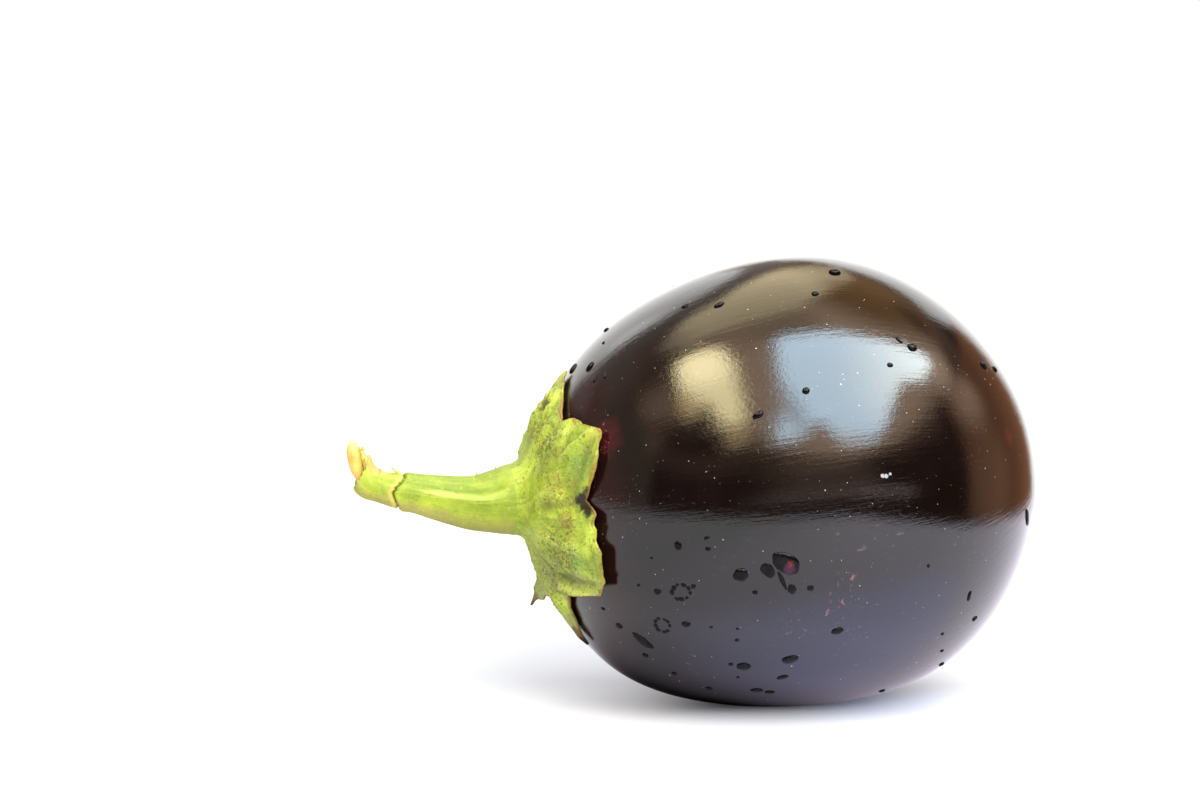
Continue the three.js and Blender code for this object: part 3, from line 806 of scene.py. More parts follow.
# Creases of the sepals. Each runs from one place to another, as degrees round the fruit's axis and
# millimetres from it, and has a width and a height in millimetres. A valley has a height under 0.
FOLDS = [
    ((37, 38.0), (33, 28.5), 1.1, 1.0), ((33, 36.5), (18, 30.0), 1.9, -0.9),
    ((35, 38.5), (17, 34.0), 0.9, 0.7), ((57, 25.0), (54, 13.0), 1.6, -0.7),
    ((41, 30.0), (44, 20.0), 1.5, 0.4), ((11, 29.0), (13, 18.0), 1.5, -0.8),
    ((24, 28.0), (21, 18.0), 1.6, 0.5), ((349, 32.0), (350, 20.0), 2.2, 0.6),
    ((325, 22.0), (337, 35.0), 0.9, -1.1), ((322, 24.0), (333, 37.5), 0.8, 0.9),
    ((353, 32.8), (342, 34.2), 0.6, -0.7), ((318, 23.0), (317, 14.0), 1.2, -0.5),
    ((296, 19.0), (290, 31.0), 0.8, 0.5), ((88, 17.0), (91, 33.0), 1.5, 0.1),
    ((98, 30.0), (103, 21.0), 1.1, -0.5), ((118, 24.0), (119, 13.0), 1.6, -0.6),
    ((141, 33.0), (140, 18.0), 1.5, 0.5), ((163, 26.0), (163, 14.0), 1.6, -0.6),
    ((185, 33.0), (186, 18.0), 1.5, 0.5), ((207, 24.0), (208, 14.0), 1.4, -0.5),
    ((262, 21.0), (263, 13.0), 1.2, -0.4),
]
# Where the web between the two front sepals has dried flat, and where a margin has rolled up, by
# the angle and the width.
DRIED_WEB, WEB_FLATNESS = (radians(10), radians(5.5)), 0.85
ROLL, ROLL_HEIGHT = (radians(326), radians(6)), 0.0009
CALYX_SIDES = 420
# How many rings of points each stretch has, from under the calyx over its margin to the socket.
UNDER_RINGS, MARGIN_RINGS, TOP_RINGS, SWEEP_RINGS = 14, 5, 52, 10
BEFORE_CRACK_RINGS, CRACK_RINGS, AFTER_CRACK_RINGS, RIM_RINGS, SOCKET_RINGS = 34, 34, 18, 4, 6
CRACK_FROM, CRACK_TO = 5.45, 6.6
# What the attribute "stretch" is on each part. From the stalk's foot to the crack it grows evenly.
UNDERSIDE, MARGIN, TOP, SWEEP, CRACK, SOCKET = 0.0, 0.5, 1.0, 1.5, 10.0, 20.0


def mixed(low, high, share):
    return low + (high - low) * share


def held(value):
    return min(1, max(0, value))


def eased(value):
    return held(value) ** 2 * (3 - 2 * held(value))


def turn_between(angle, middle):
    """An angle from a middle one, the short way round."""
    return atan2(sin(angle - middle), cos(angle - middle))


def hump(off, width):
    """1 in the middle, and less the further off."""
    return exp(-((off / width) ** 2))


def bell(angle, middle, width):
    return hump(turn_between(angle, middle), width)


def round_way(angle):
    return Vector((cos(angle), sin(angle), 0))


def layered_noise(way, layers):
    """The sum of layers of noise at a place, each by its frequency and its height."""
    return sum(height * noise.noise(way * frequency) for frequency, height in layers)


def noise_along(way, place, layers):
    """The same for noise that runs along a limb: its frequency round the limb and along it."""
    return sum(
        height * noise.noise(way * around + Vector((0, 0, place * along)))
        for around, along, height in layers
    )


def sepal_at(angle):
    """The sepal at an angle, and how far from its tip (0) to its notch (1) the angle lies."""
    first = SEPALS[-1]["notch"] - 360
    turn = (angle * 180 / pi - first) % 360 + first
    number = next(i for i, sepal in enumerate(SEPALS) if turn <= sepal["notch"])
    sepal, before = SEPALS[number], SEPALS[number - 1]
    start = before["notch"] if number else first
    if turn < sepal["tip"]:
        share = (sepal["tip"] - turn) / (sepal["tip"] - start)
        return sepal, share, sepal["full"][0], before["notch_reach"]
    share = (turn - sepal["tip"]) / (sepal["notch"] - sepal["tip"])
    return sepal, share, sepal["full"][1], sepal["notch_reach"]


def edge_reach(angle):
    """How far the calyx reaches from the fruit's axis at an angle. Its edge is a little ragged."""
    sepal, share, full, notch_reach = sepal_at(angle)
    ragged = layered_noise(round_way(angle), EDGE_WAVES)
    return mixed(sepal["reach"], notch_reach, share**full) + ragged


def stand_off(reach, angle, edge):
    """How far the calyx's underside is off the skin."""
    sepal, share = sepal_at(angle)[:2]
    to_tip = held((reach - ROOT_REACH) / (sepal["reach"] - ROOT_REACH))
    to_edge = held((reach - ROOT_REACH) / (edge - ROOT_REACH))
    uneven = 1 + 0.7 * noise.noise(Vector((cos(angle), sin(angle), 2)) * 6)
    margin = sepal["margin"] * uneven * to_edge**3 * (1 - bell(angle, *DRIED_WEB))
    rolled = ROLL_HEIGHT * bell(angle, *ROLL) * to_edge**6
    return SKIN_GAP + sepal["curl"] * (1 - share) ** 1.5 * to_tip**2.2 + margin + rolled


def over_skin(reach, angle, height):
    """A place over the fruit's shoulder at a distance from its axis and a height off the skin."""
    low, high = 0.0, pi / 2
    for _ in range(24):
        middle = (low + high) / 2
        if girth(middle, angle) < reach:
            low = middle
        else:
            high = middle
    return skin_place(low, angle) + skin_normal(max(low, 0.01), angle) * height


def foot_reach(angle):
    """How far the edge of the stalk's foot, a circle off the fruit's axis, is from that axis."""
    (_, front, up), radius = STALK[0]
    towards = front * cos(angle) + up * sin(angle)
    aside = up * cos(angle) - front * sin(angle)
    return towards + (radius**2 - aside**2) ** 0.5


def by_height(under, above, angle):
    """A value that goes from one under the axis to another above it."""
    return mixed(under, above, (1 + sin(angle)) / 2)


def flat_place(angle, reach):
    """A place on the calyx as seen along the fruit's axis, from degrees and millimetres."""
    return Vector((cos(radians(angle)), sin(radians(angle)))) * reach / 1000


def fold_height(angle, reach):
    """How much the creases raise the calyx at a place."""
    here = Vector((cos(angle), sin(angle))) * reach
    height = 0.0
    for start, end, width, rise in FOLDS:
        foot = flat_place(*start)
        way = flat_place(*end) - foot
        share = held((here - foot).dot(way) / way.length_squared)
        height += rise / 1000 * hump((here - foot - way * share).length, width / 1000)
    return height


class Limb:
    """A smooth line through places with a radius at each, as a centripetal Catmull-Rom curve."""

    def __init__(self, stations):
        self.places = [placed(*place) for place, radius in stations]
        self.sizes = [Vector((radius, 0, 0)) for place, radius in stations]
        self.steps = len(stations) - 1

    def on_curve(self, points, place):
        step = min(int(place), self.steps - 1)
        rest = place - step
        start, end = points[step], points[step + 1]
        before = points[step - 1] if step else 2 * start - end
        after = points[step + 2] if step + 2 <= self.steps else 2 * end - start
        gaps = [(b - a).length ** 0.5 for a, b in ((before, start), (start, end), (end, after))]
        main = gaps[1] if gaps[1] > 1e-4 else 1.0
        first = gaps[0] if gaps[0] > 1e-4 else main
        last = gaps[2] if gaps[2] > 1e-4 else main
        leave = ((start - before) / first - (end - before) / (first + main) + (end - start) / main) * main
        arrive = ((end - start) / main - (after - start) / (main + last) + (after - end) / last) * main
        return (
            start + rest * leave + rest**2 * (3 * (end - start) - 2 * leave - arrive)
            + rest**3 * (2 * (start - end) + leave + arrive)
        )

    def centre(self, place):
        return self.on_curve(self.places, place)

    def radius(self, place):
        return self.on_curve(self.sizes, place).x

    def point(self, place, angle, radius, flatness=1.0):
        """A place at an angle round the line, flattened in the plane that the line bends in."""
        step = 0.001
        ahead, behind = min(self.steps, place + step), max(0, place - step)
        tangent = (self.centre(ahead) - self.centre(behind)).normalized()
        front = placed(0, 1, 0) - placed(0, 0, 0)
        front = (front - tangent * front.dot(tangent)).normalized()
        up = tangent.cross(front)
        return self.centre(place) + (front * cos(angle) + up * (flatness * sin(angle))) * radius


stalk = Limb(STALK)


class Side:
    """One line of points over the calyx and the stalk, at an angle round the fruit's axis."""

    def __init__(self, angle):
        self.angle = angle
        self.sepal, self.share = sepal_at(angle)[:2]
        self.edge = edge_reach(angle)
        self.top_reach = foot_reach(angle) + by_height(FILLET_UNDER, FILLET_ABOVE, angle)
        foot = Vector((cos(angle), sin(angle))) * foot_reach(angle) - Vector(STALK[0][0][1:])
        self.stalk_angle = atan2(foot.y, foot.x)
        self.way, self.stalk_way = round_way(angle), round_way(self.stalk_angle)
        self.crack_at = CRACK_AT + CRACK_LEAP * bell(self.stalk_angle, *CRACK_BULGE)
        self.crack_at += layered_noise(self.stalk_way, CRACK_WAVES)
        self.rim = RIM_AT + HORN_LENGTH * bell(angle, HORN_ANGLE, HORN_WIDTH)
        self.rim += layered_noise(self.stalk_way, RIM_WAVES)

    def off_skin(self, reach, height=0.0):
        """A place over the skin, by its height off the calyx's underside."""
        return over_skin(reach, self.angle, stand_off(reach, self.angle, self.edge) + height)

    def under(self, share):
        reach = share * self.edge
        return self.off_skin(reach), self.edge - reach

    def margin(self, share):
        """Round the thin margin, from its underside to its top."""
        lift = stand_off(self.edge, self.angle, self.edge)
        under, top = self.off_skin(self.edge), self.off_skin(self.edge, EDGE_THICK)
        inner, outer = [over_skin(self.edge + step, self.angle, lift) for step in (-0.0005, 0.0005)]
        middle = (under + top) / 2
        bulge = (outer - inner).normalized() * (EDGE_THICK / 2)
        return middle + (under - middle) * cos(pi * share) + bulge * sin(pi * share), 0.0

    def top(self, share):
        reach = mixed(self.edge, self.top_reach, share)
        inwards = (self.edge - reach) / by_height(THICKEN_UNDER, THICKEN_ABOVE, self.angle)
        thick = mixed(EDGE_THICK, CALYX_THICK, eased(inwards))
        off_vein = turn_between(self.angle, radians(self.sepal["tip"])) * reach
        vein = VEIN_HEIGHT * hump(off_vein, VEIN_WIDTH) * sin(pi * held(share)) ** 0.5
        pucker = noise_along(self.way, reach, PUCKERS) + 0.1
        wrinkle = noise_along(self.way, reach, WRINKLES)
        wrinkle += layered_noise(self.way * reach, FINE_WRINKLES)
        loose = eased(share * 5) * (1 - 0.75 * eased((share - 0.6) * 2.5))
        web = 1 - WEB_FLATNESS * bell(self.angle, *DRIED_WEB) * (1 - eased(share * 2.5))
        uneven = (PUCKER_HEIGHT * pucker + WRINKLE_HEIGHT * wrinkle) * loose
        height = (thick + vein + uneven) * web + fold_height(self.angle, reach)
        return self.off_skin(reach, max(EDGE_THICK / 2, height)), self.edge - reach

    def rind(self, place, inset=0.0):
        fade = eased(place)
        ridge = RIDGE_DEPTH * cos(pi * self.share)
        sway = self.stalk_angle + 0.12 * noise.noise(Vector((place * 0.9, 0, 4)))
        groove = GROOVE_DEPTH * bell(sway, GROOVE_ANGLE, GROOVE_WIDTH)
        groove -= CREST_HEIGHT * bell(sway, CREST_ANGLE, CREST_WIDTH)
        ribs = noise_along(self.stalk_way, place, STALK_GROOVES)
        past = place - self.crack_at
        crack = CRACK_DEPTH * hump(past, CRACK_WIDTH)
        lip = LIP_HEIGHT * hump(past, LIP_WIDTH) if past < 0 else 0
        size = stalk.radius(place) * (1 + fade * (ridge - groove + ribs)) * (1 - crack + lip)
        return stalk.point(place, self.stalk_angle, size - inset)

    def from_crack(self, place):
        """A place along the stalk, counted so that the ragged crack is at CRACK."""
        return CRACK + place - mixed(CRACK_AT, self.crack_at, eased(place / CRACK_AT))

    def sweep(self, share):
        """From the calyx up into the stalk."""
        start, end = self.top(1)[0], self.rind(0)
        bend = UPRIGHT @ end
        bend.x = (UPRIGHT @ start).lerp(bend, 0.2).x
        bend = LYING @ bend
        return start * (1 - share) ** 2 + bend * (2 * share * (1 - share)) + end * share**2

    def points(self):
        """Every point but the two poles, each with its distance from the margin and its stretch."""
        made = [(*self.under((i + 1) / UNDER_RINGS), UNDERSIDE) for i in range(UNDER_RINGS)]
        made += [(*self.margin((i + 1) / (MARGIN_RINGS + 1)), MARGIN) for i in range(MARGIN_RINGS)]
        made += [(*self.top(i / (TOP_RINGS - 1)), TOP) for i in range(TOP_RINGS)]
        far = made[-1][1]
        made += [(self.sweep((i + 1) / (SWEEP_RINGS + 1)), far, SWEEP) for i in range(SWEEP_RINGS)]
        places = [mixed(0, CRACK_FROM, i / BEFORE_CRACK_RINGS) for i in range(BEFORE_CRACK_RINGS)]
        places += [mixed(CRACK_FROM, CRACK_TO, i / CRACK_RINGS) for i in range(CRACK_RINGS)]
        last = AFTER_CRACK_RINGS - 1
        places += [mixed(CRACK_TO, self.rim, i / last) for i in range(AFTER_CRACK_RINGS)]
        made += [(self.rind(place), far, self.from_crack(place)) for place in places]
        at_rim = self.from_crack(self.rim)
        for i in range(RIM_RINGS):
            turn = pi * (i + 1) / (RIM_RINGS + 1)
            over_rim = self.rind(self.rim + RIM_CROWN * sin(turn), RIND_WALL * (1 - cos(turn)) / 2)
            made.append((over_rim, far, at_rim))
        for i in range(SOCKET_RINGS):
            place = mixed(self.rim, RIM_AT - SOCKET_DEPTH, i / (SOCKET_RINGS - 1))
            made.append((self.rind(place, RIND_WALL), far, SOCKET))
        return made


whole_sides = [Side(tau * number / CALYX_SIDES) for number in range(CALYX_SIDES)]
sides = [side.points() for side in whole_sides]
rings = len(sides[0])
bpy.ops.mesh.primitive_uv_sphere_add(segments=CALYX_SIDES, ring_count=rings + 1, radius=1)
calyx = bpy.context.object
calyx.name = "calyx_and_stalk"
# What the finish needs to know of each point. All are made first, since making one moves the others.
KNOWN = {
    "from_margin": "FLOAT", "stretch": "FLOAT", "relief": "FLOAT", "run": "FLOAT_VECTOR",
    "round_stalk": "FLOAT_VECTOR",
}
for label, kind in KNOWN.items():
    calyx.data.attributes.new(label, kind, "POINT")
from_margin, stretch, relief, run, round_stalk = [calyx.data.attributes[label] for label in KNOWN]
for vertex in calyx.data.vertices:
    down, around = polar(vertex)
    ring = round(down / pi * (rings + 1)) - 1
    side = round(around / tau * CALYX_SIDES) % CALYX_SIDES
    if ring < 0:
        place, inwards, where = over_skin(0, 0, SKIN_GAP), 1.0, UNDERSIDE
    elif ring == rings:
        place, inwards, where = stalk.centre(RIM_AT - SOCKET_DEPTH), 1.0, SOCKET
    else:
        place, inwards, where = sides[side][ring]
    vertex.co = place
    local = UPRIGHT @ place
    from_margin.data[vertex.index].value = inwards
    stretch.data[vertex.index].value = where
    run.data[vertex.index].vector = (local.x * 30, cos(around), sin(around))
    folds = 1000 * fold_height(around, (local.y**2 + local.z**2) ** 0.5) if where == TOP else 0
    relief.data[vertex.index].value = folds
    round_stalk.data[vertex.index].vector = whole_sides[side].stalk_way
smooth_closed(calyx)


def on_calyx(angle, reach):
    """A place on the calyx's top by degrees round the fruit's axis and millimetres from it."""
    angle, reach = radians(angle), reach / 1000
    return over_skin(reach, angle, stand_off(reach, angle, edge_reach(angle)) + CALYX_THICK / 2)


LIME, STRAW, LEAF = srgb(202, 220, 72), srgb(186, 176, 78), srgb(128, 160, 66)
OLIVE, PAINTED_SHADE_GREEN, BRUISE = srgb(128, 132, 42), srgb(140, 144, 92), srgb(78, 76, 30)
RUST, BROWN, DRIED = srgb(150, 98, 36), srgb(98, 70, 34), srgb(30, 20, 13)
# Where the calyx differs in colour: degrees round, millimetres out, radius in millimetres, how
# ragged and soft the patch is, how strong, and its colour. Most patches are the calyx's own colour,
# but the grey-green ones are painted shade and the lime ones are partly painted light.
CALYX_PATCHES = [
    (78, 28.0, 5.0, 0.5, 0.8, 0.9, LIME), (92, 32.0, 4.0, 0.5, 0.8, 0.7, STRAW),
    (64, 13.0, 6.0, 0.6, 0.9, 0.9, LIME), (48, 30.0, 4.5, 0.6, 0.7, 0.9, LIME),
    (14, 24.0, 4.0, 0.6, 0.8, 0.9, LIME), (357, 33.5, 4.4, 0.6, 0.8, 0.9, LIME),
    (300, 23.5, 4.0, 0.6, 0.8, 0.7, LIME), (34, 36.0, 3.0, 0.6, 0.7, 0.7, STRAW),
    (345, 29.5, 4.8, 0.6, 0.8, 0.8, LEAF), (26, 31.5, 5.0, 0.7, 0.8, 0.8, LEAF),
    (30, 33.5, 2.6, 0.7, 0.8, 0.7, PAINTED_SHADE_GREEN), (38, 26.0, 3.6, 0.8, 0.9, 0.8, OLIVE),
    (74, 19.0, 4.0, 0.8, 0.9, 0.8, OLIVE), (100, 24.0, 3.4, 0.7, 0.8, 0.7, OLIVE),
    (2, 26.5, 3.4, 0.8, 0.8, 0.7, OLIVE), (340, 23.0, 4.4, 0.9, 0.9, 0.7, OLIVE),
    (308, 16.5, 4.2, 0.8, 0.9, 0.6, PAINTED_SHADE_GREEN), (335, 29.5, 3.6, 0.8, 0.8, 0.8, PAINTED_SHADE_GREEN),
    (332, 35.0, 3.4, 0.6, 0.7, 0.8, PAINTED_SHADE_GREEN), (293, 28.0, 4.0, 0.6, 0.8, 0.7, PAINTED_SHADE_GREEN),
    (84, 25.6, 2.6, 0.7, 0.6, 0.95, BRUISE), (41, 35.4, 1.6, 0.8, 0.6, 0.9, RUST),
    (45, 32.0, 1.3, 0.8, 0.6, 0.8, RUST), (21, 35.6, 2.0, 0.8, 0.7, 0.8, RUST),
    (337, 24.3, 2.0, 0.9, 0.7, 0.9, BRUISE), (346, 36.3, 2.2, 0.7, 0.6, 0.9, BROWN),
    (337, 37.0, 2.2, 0.7, 0.6, 0.9, BROWN), (290, 29.8, 3.2, 0.6, 0.6, 0.8, BROWN),
    (237, 28.5, 4.6, 0.5, 0.6, 0.9, BROWN), (95, 34.6, 1.8, 0.6, 0.6, 0.7, BROWN),
]
# The same for the web that has dried between the two front sepals.
DRIED_WEB_PATCHES = [
    (11.5, 28.1, 1.9, 0.5, 0.6, 0.85, RUST), (11.5, 28.6, 1.9, 0.35, 0.35, 0.97, DRIED),
    (10.5, 30.4, 2.9, 0.35, 0.35, 0.97, DRIED), (14.0, 31.8, 2.2, 0.4, 0.4, 0.97, DRIED),
    (7.2, 31.9, 2.4, 0.4, 0.4, 0.97, DRIED), (8.5, 33.0, 1.2, 0.6, 0.5, 0.9, RUST),
    (2.5, 33.6, 1.5, 0.6, 0.5, 0.9, RUST),
]
# The same for the tips and edges that have dried.
DRIED_TIPS = [
    (47, 31.6, 1.7, 0.6, 0.6, 0.85, RUST), (44.5, 33.6, 1.3, 0.6, 0.5, 0.85, BROWN),
    (42, 35.4, 1.1, 0.6, 0.5, 0.85, DRIED), (236, 26.5, 4.4, 0.4, 0.6, 0.75, BROWN),
    (290, 30.8, 3.6, 0.5, 0.5, 0.9, BROWN), (289, 32.4, 2.6, 0.4, 0.4, 0.95, DRIED),
    (342, 34.6, 1.0, 0.6, 0.5, 0.85, DRIED), (238, 29.0, 3.2, 0.5, 0.5, 0.8, DRIED),
    (336, 36.2, 1.3, 0.6, 0.5, 0.8, DRIED),
]
SPOTS = (0.0016, 0.3, 0.3)  # single dark spots: their spacing, their size in it, and their share
# Where freckles lie close together: the same, without how ragged and how soft.
FRECKLED = [
    (48, 22.5, 10.0, 0.85, srgb(96, 98, 18)), (74, 20.0, 8.0, 0.85, srgb(112, 104, 20)),
    (20, 23.5, 8.0, 0.6, srgb(138, 96, 36)), (343, 23.5, 11.0, 0.8, srgb(88, 86, 30)),
    (2, 26.0, 6.0, 0.65, srgb(126, 94, 36)), (310, 19.0, 7.0, 0.7, srgb(100, 96, 44)),
]


def calyx_material():
    material, tree, out = new_material("green_rind")
    place = coordinates(tree)
    along, around = attribute(tree, "run", "Vector"), attribute(tree, "round_stalk", "Vector")
    margin, where, folds = [attribute(tree, name) for name in ("from_margin", "stretch", "relief")]
    streaks = cloudy(stretched(along, 1.6, 9.0, 9.0), 1.0, 5.0, 0.6)
    fibres = cloudy(stretched(along, 6.0, 46.0, 46.0), 1.0, 3.0, 0.6)
    clouds = cloudy(place, 150.0, 4.0, 0.6)
    colour = tinted(between(clouds, 0.38, 0.62), srgb(130, 150, 38), srgb(166, 182, 50))
    colour = tinted(between(streaks, 0.5, 0.72, 0.0, 0.8), colour, srgb(178, 186, 76))
    colour = tinted(between(fibres, 0.56, 0.74, 0.0, 0.45), colour, srgb(92, 112, 28))
    # The underside is greyer, and the lower sepals are greyed as painted shade, where less light falls
    # from below.
    colour = tinted(between(where, 0.2, 0.6, 1.0, 0.0), colour, srgb(120, 128, 70))
    on_sepals = between(where, 1.2, 1.9, 1.0, 0.0)
    upwards = add_node(tree, "SeparateXYZ", Vector=along).outputs["Z"]
    low = times(between(upwards, -0.75, 0.1, 0.6, 0.0), on_sepals)
    colour = tinted(low, colour, srgb(134, 138, 78))

    def with_patches(colour, patches):
        for angle, reach, radius, ragged, soft, strength, tint in patches:
            mask = patch(place, on_calyx(angle, reach), radius / 1000, ragged, soft)
            colour = tinted(times(mask, times(on_sepals, strength)), colour, tint)
        return colour

    def near(value, middle, wander, layer, inner, outer, strength):
        """A soft band where a value is near a middle one, with its edges made uneven by a layer."""
        off = math_node("ABSOLUTE", math_node("SUBTRACT", value, middle))
        return between(times_plus(layer, wander, off), inner, outer, strength, 0.0)

    # Along the stalk a painted highlight makes one crest pale, painted shade darkens the groove over it,
    # and painted shade turns the flank under it tan.
    stalk_way = add_node(tree, "SeparateXYZ", Vector=around)
    sideways, upwards = stalk_way.outputs["X"], stalk_way.outputs["Y"]
    painted_shade_under_stalk = times(
        between(times_plus(clouds, 0.7, upwards), -0.35, 0.15, 0.7, 0.0), between(where, 1.6, 5.0)
    )
    colour = tinted(painted_shade_under_stalk, colour, srgb(166, 150, 84))
    facing = times(between(sideways, 0.0, 0.5), between(where, 4.4, 6.0))
    facing = times(facing, between(where, 7.8, 9.2, 1.0, 0.0))
    painted_crest_highlight = near(upwards, sin(CREST_ANGLE), 0.3, streaks, 0.16, 0.34, 0.55)
    colour = tinted(times(painted_crest_highlight, facing), colour, srgb(210, 226, 112))
    # Painted shade in the groove.
    groove = near(upwards, sin(GROOVE_ANGLE), 0.2, streaks, 0.1, 0.22, 0.6)
    colour = tinted(times(groove, facing), colour, srgb(96, 128, 26))
    # The torn rim is bare yellow wood, furthest down on its horn, and so is the crack's far lip.
    rim_wood = times_plus(fibres, 0.9, times_plus(upwards, 2.4, where))
    colour = tinted(between(rim_wood, CRACK + 3.7, CRACK + 4.3), colour, srgb(218, 172, 88))
    past_crack = near(where, CRACK + 0.22, 0.25, fibres, 0.12, 0.4, 0.75)
    colour = tinted(past_crack, colour, srgb(208, 184, 92))
    # Painted shade darkens the inside of the crack.
    painted_crack_shade = near(where, CRACK, 0.1, clouds, 0.06, 0.13, 0.85)
    colour = tinted(painted_crack_shade, colour, srgb(84, 96, 22))
    # The patches paint some light and shade as well as the calyx's own colours.
    colour = with_patches(colour, CALYX_PATCHES)
    # Painted shade darkens the creases and a painted highlight makes their crests pale.
    colour = tinted(between(folds, -0.9, -0.1, 0.6, 0.0), colour, srgb(92, 100, 44))
    colour = tinted(between(folds, 0.2, 0.9, 0.0, 0.5), colour, srgb(200, 208, 92))
    # Olive and brown freckles lie thickest over the middle of the sepals.
    fine = cloudy(stretched(place, 900.0, 1500.0, 1500.0), 1.0, 5.0, 0.72)
    for angle, reach, radius, strength, tint in FRECKLED:
        mask = patch(place, on_calyx(angle, reach), radius / 1000, 0.6, 0.9)
        freckles = between(times_plus(mask, 0.14, fine), 0.57, 0.67)
        colour = tinted(times(freckles, times(on_sepals, strength)), colour, tint)
    mottled = times_plus(on_sepals, 0.7, 0.3)
    olive = between(cloudy(place, 760.0, 5.0, 0.72), 0.52, 0.64, 0.0, 0.4)
    colour = tinted(times(olive, mottled), colour, OLIVE)
    spotted = times(specks(place, *SPOTS), mottled)
    colour = tinted(times(spotted, 0.6), colour, BRUISE)
    pale_grain = between(cloudy(place, 1500.0, 3.0, 0.6), 0.56, 0.68, 0.0, 0.4)
    colour = tinted(pale_grain, colour, srgb(200, 208, 92))
    # The neck of the stalk is a deeper green than the rest of it.
    neck = times(between(where, 1.8, 3.2), between(where, 6.6, 8.4, 1.0, 0.0))
    colour = tinted(times(neck, 0.34), colour, srgb(112, 132, 26))
    colour = with_patches(colour, DRIED_WEB_PATCHES)
    # The margin is dry and brown here and there.
    edge = times_plus(cloudy(place, 900.0, 4.0, 0.7), 0.0011, margin)
    dry_places = between(cloudy(place, 190.0, 2.0), 0.42, 0.6, 0.45, 1.0)
    dry = times(between(edge, 0.00055, 0.0009, 0.9, 0.0), dry_places)
    colour = tinted(dry, colour, srgb(138, 92, 34))
    colour = with_patches(colour, DRIED_TIPS)
    height = times_plus(fibres, 0.7, clouds)
    height = times_plus(cloudy(place, 1300.0, 4.0, 0.65), 0.55, height)
    surface(
        tree, out, height, (0.7, 0.0003), Base_Color=colour, IOR=1.45, Specular_IOR_Level=0.3,
        Roughness=between(streaks, 0.3, 0.7, 0.42, 0.62),
    )
    return material


calyx.data.materials.append(calyx_material())
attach(calyx, "root")
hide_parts("calyx_stem")

# ---------------------------------------------------------------- torn wood
# The pale wood of the stalk's heart was torn out as a claw of fibres that bends up from the rind.
# It dried to the colour of straw, and loose fibres stand along its inner side.
CLAW = [
    ((0.1007, 0.0021, 0.0119), 0.0013), ((0.1023, 0.0021, 0.0133), 0.0013),
    ((0.1037, 0.0022, 0.0154), 0.00175), ((0.1041, 0.0022, 0.0178), 0.0021),
    ((0.10435, 0.0022, 0.0206), 0.0020), ((0.1043, 0.0022, 0.0226), 0.0013),
    ((0.1041, 0.0022, 0.0238), 0.0003),
]
CLAW_FLATNESS = 0.8
CLAW_SIDES, CLAW_RINGS = 64, 80
FIBRE_DEPTH = 0.06
PARTED_FIBRES = ((3.1, 0.35, 1.0), (8.3, 0.5, 0.5))
# Loose fibres stand on the claw's inner side, within these ranges of height, length and rise.
LOOSE_FIBRES = 16
FIBRE_UP, FIBRE_LENGTH, FIBRE_RISE = (0.0150, 0.0215), (0.0008, 0.0019), (-0.0004, 0.0012)
CLAW_INSIDE, CLAW_FRONT = 0.1031, 0.0022


def limb_piece(name, stations, flatness, around, rings, roughness):
    """A solid limb along a line, with grooves along it where its fibres parted."""
    limb = Limb(stations)
    bpy.ops.mesh.primitive_uv_sphere_add(segments=around, ring_count=rings, radius=1)
    piece = bpy.context.object
    piece.name = name
    for vertex in piece.data.vertices:
        down, angle = polar(vertex)
        place = limb.steps * down / pi
        groove = noise_along(round_way(angle), place, PARTED_FIBRES)
        at_end = down < 1e-4 or down > pi - 1e-4
        radius = 0 if at_end else limb.radius(place) * (1 + roughness * groove)
        vertex.co = limb.point(place, angle, radius, flatness)
    return piece


claw = limb_piece("claw", CLAW, CLAW_FLATNESS, CLAW_SIDES, CLAW_RINGS, FIBRE_DEPTH)
pieces = [claw]
draw = random.Random(4)
for _ in range(LOOSE_FIBRES):
    up = draw.uniform(*FIBRE_UP)
    inside = CLAW_INSIDE - draw.uniform(0, 0.0006)
    front = CLAW_FRONT + draw.uniform(-0.0012, 0.0012)
    reach, rise = draw.uniform(*FIBRE_LENGTH), draw.uniform(*FIBRE_RISE)
    stations = [
        ((inside, front, up), 0.00013), ((inside - 0.6 * reach, front, up + 0.3 * rise), 0.0001),
        ((inside - reach, front + draw.uniform(-0.0003, 0.0003), up + rise), 0.00003),
    ]
    pieces.append(limb_piece("fibre", stations, 1.0, 6, 8, 0.0))
claw = joined("torn_claw", pieces)


def wood_material():
    material, tree, out = new_material("torn_wood")
    place = coordinates(tree)
    grain_lines = cloudy(stretched(place, 2600.0, 2600.0, 260.0), 1.0, 4.0, 0.65)
    clouds = cloudy(place, 320.0, 3.0, 0.6)
    colour = tinted(between(clouds, 0.35, 0.65), srgb(214, 160, 58), srgb(226, 184, 92))
    colour = tinted(between(grain_lines, 0.52, 0.74, 0.0, 0.45), colour, srgb(178, 122, 44))
    tip = patch(place, placed(*CLAW[-1][0]), 0.0034, 0.3, 0.8)
    colour = tinted(times(tip, 0.7), colour, srgb(232, 212, 146))
    surface(
        tree, out, grain_lines, (0.6, 0.0002), Base_Color=colour,
        Roughness=between(grain_lines, 0.3, 0.7, 0.5, 0.75),
    )
    return material


claw.data.materials.append(wood_material())
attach(claw, "root")
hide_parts("torn_wood")

# ---------------------------------------------------------------- scraps of rind
# A ragged strip of green rind stays between the claw and the rim's horn. Two teeth stand on the torn
# rim, a flake by the crack, and a few small thorns on the stalk. All are one with the rind.
STRIP = [
    ((0.1012, 0.0024, 0.0140), 0.0009), ((0.1014, 0.0026, 0.0162), 0.0011),
    ((0.1017, 0.0028, 0.0182), 0.00095), ((0.1024, 0.0028, 0.0201), 0.0006),
    ((0.1031, 0.0026, 0.0218), 0.0001),
]
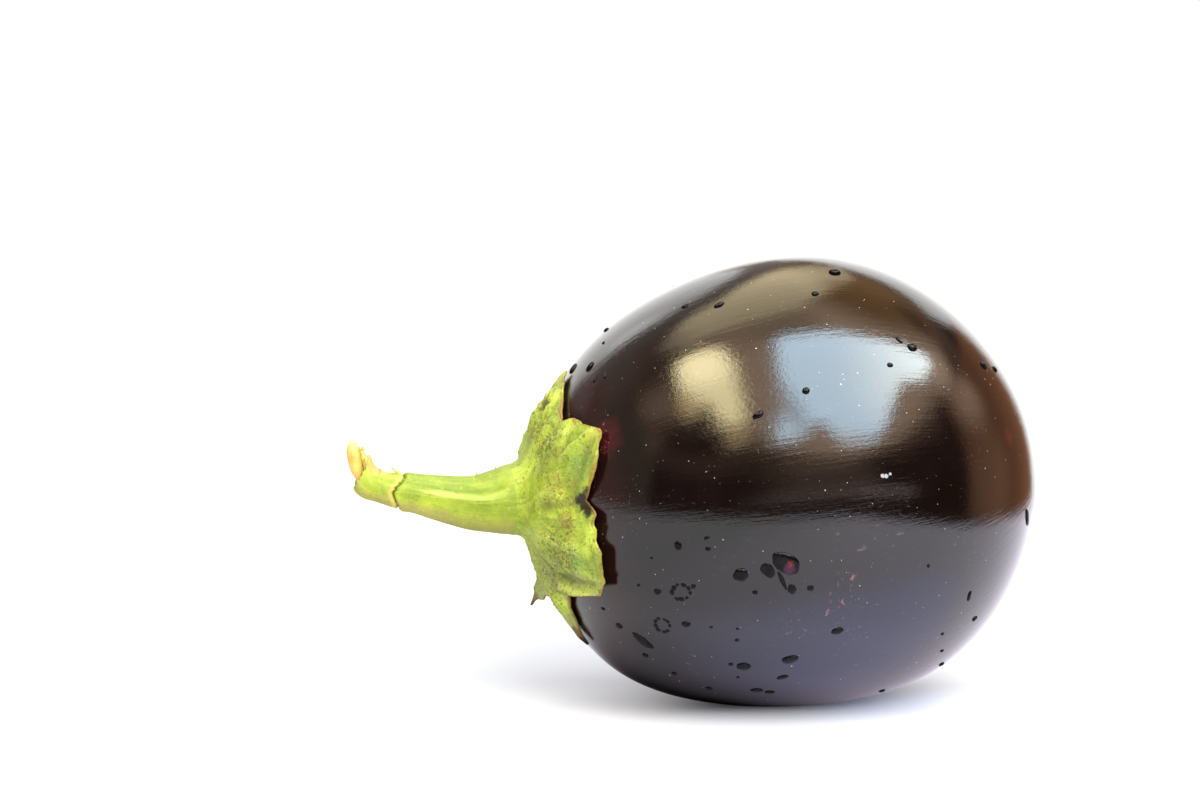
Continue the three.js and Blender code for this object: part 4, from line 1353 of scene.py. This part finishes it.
# Tatters stand on the strip's inner side, within these ranges of height, length and rise.
STRIP_TATTERS = 12
TATTER_UP, TATTER_LENGTH, TATTER_RISE = (0.0155, 0.0210), (0.0006, 0.0014), (0.0, 0.0012)
STRIP_INSIDE, STRIP_FRONT = 0.1014, 0.0026
STRIP_BEND, STRIP_LEAN = 0.0175, 0.45  # above this height the strip leans in, by this slope
# Each point: where its foot and its tip are, and the foot's radius.
POINTS = [
    ((0.1034, 0.0034, 0.0106), (0.1055, 0.0040, 0.0123), 0.0005),
    ((0.1036, 0.0030, 0.0124), (0.1048, 0.0032, 0.0139), 0.00045),
    ((0.0932, 0.0016, 0.0132), (0.0959, 0.0020, 0.0160), 0.00075),
    ((0.0838, 0.0014, 0.0112), (0.0841, 0.0014, 0.0134), 0.0003),
    ((0.0750, 0.0012, 0.0108), (0.0755, 0.0012, 0.0123), 0.0003),
    ((0.0762, 0.0030, 0.0102), (0.0764, 0.0034, 0.0114), 0.00025),
    ((0.0700, -0.0030, 0.0112), (0.0702, -0.0034, 0.0130), 0.0003),
]
tatters = [limb_piece("strip", STRIP, 0.9, 24, 40, 0.3)]
draw = random.Random(11)
for _ in range(STRIP_TATTERS):
    up = draw.uniform(*TATTER_UP)
    inside = STRIP_INSIDE + max(0, up - STRIP_BEND) * STRIP_LEAN
    foot = (inside, STRIP_FRONT + draw.uniform(-0.0008, 0.0008), up)
    length, rise = draw.uniform(*TATTER_LENGTH), draw.uniform(*TATTER_RISE)
    tip = (inside - length, foot[1], up + rise)
    tatters.append(limb_piece("tatter", [(foot, 0.00028), (tip, 0.00004)], 1.0, 6, 6, 0.0))
for foot, tip, radius in POINTS:
    middle = [mixed(start, end, 0.45) for start, end in zip(foot, tip)]
    stations = [(foot, radius), (middle, radius * 0.55), (tip, radius * 0.1)]
    tatters.append(limb_piece("point", stations, 1.0, 12, 12, 0.15))
scraps = joined("scraps_of_rind", tatters)


def scrap_material():
    material, tree, out = new_material("torn_rind")
    place = coordinates(tree)
    clouds = cloudy(place, 900.0, 3.0, 0.6)
    grit = cloudy(place, 3000.0, 3.0, 0.6)
    colour = tinted(between(clouds, 0.4, 0.62), srgb(152, 160, 48), srgb(206, 202, 104))
    colour = tinted(between(grit, 0.5, 0.7, 0.0, 0.4), colour, srgb(110, 112, 34))
    surface(
        tree, out, grit, (0.6, 0.0001), Base_Color=colour,
        Roughness=between(clouds, 0.3, 0.7, 0.5, 0.7),
    )
    return material


scraps.data.materials.clear()
scraps.data.materials.append(scrap_material())
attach(scraps, "root")
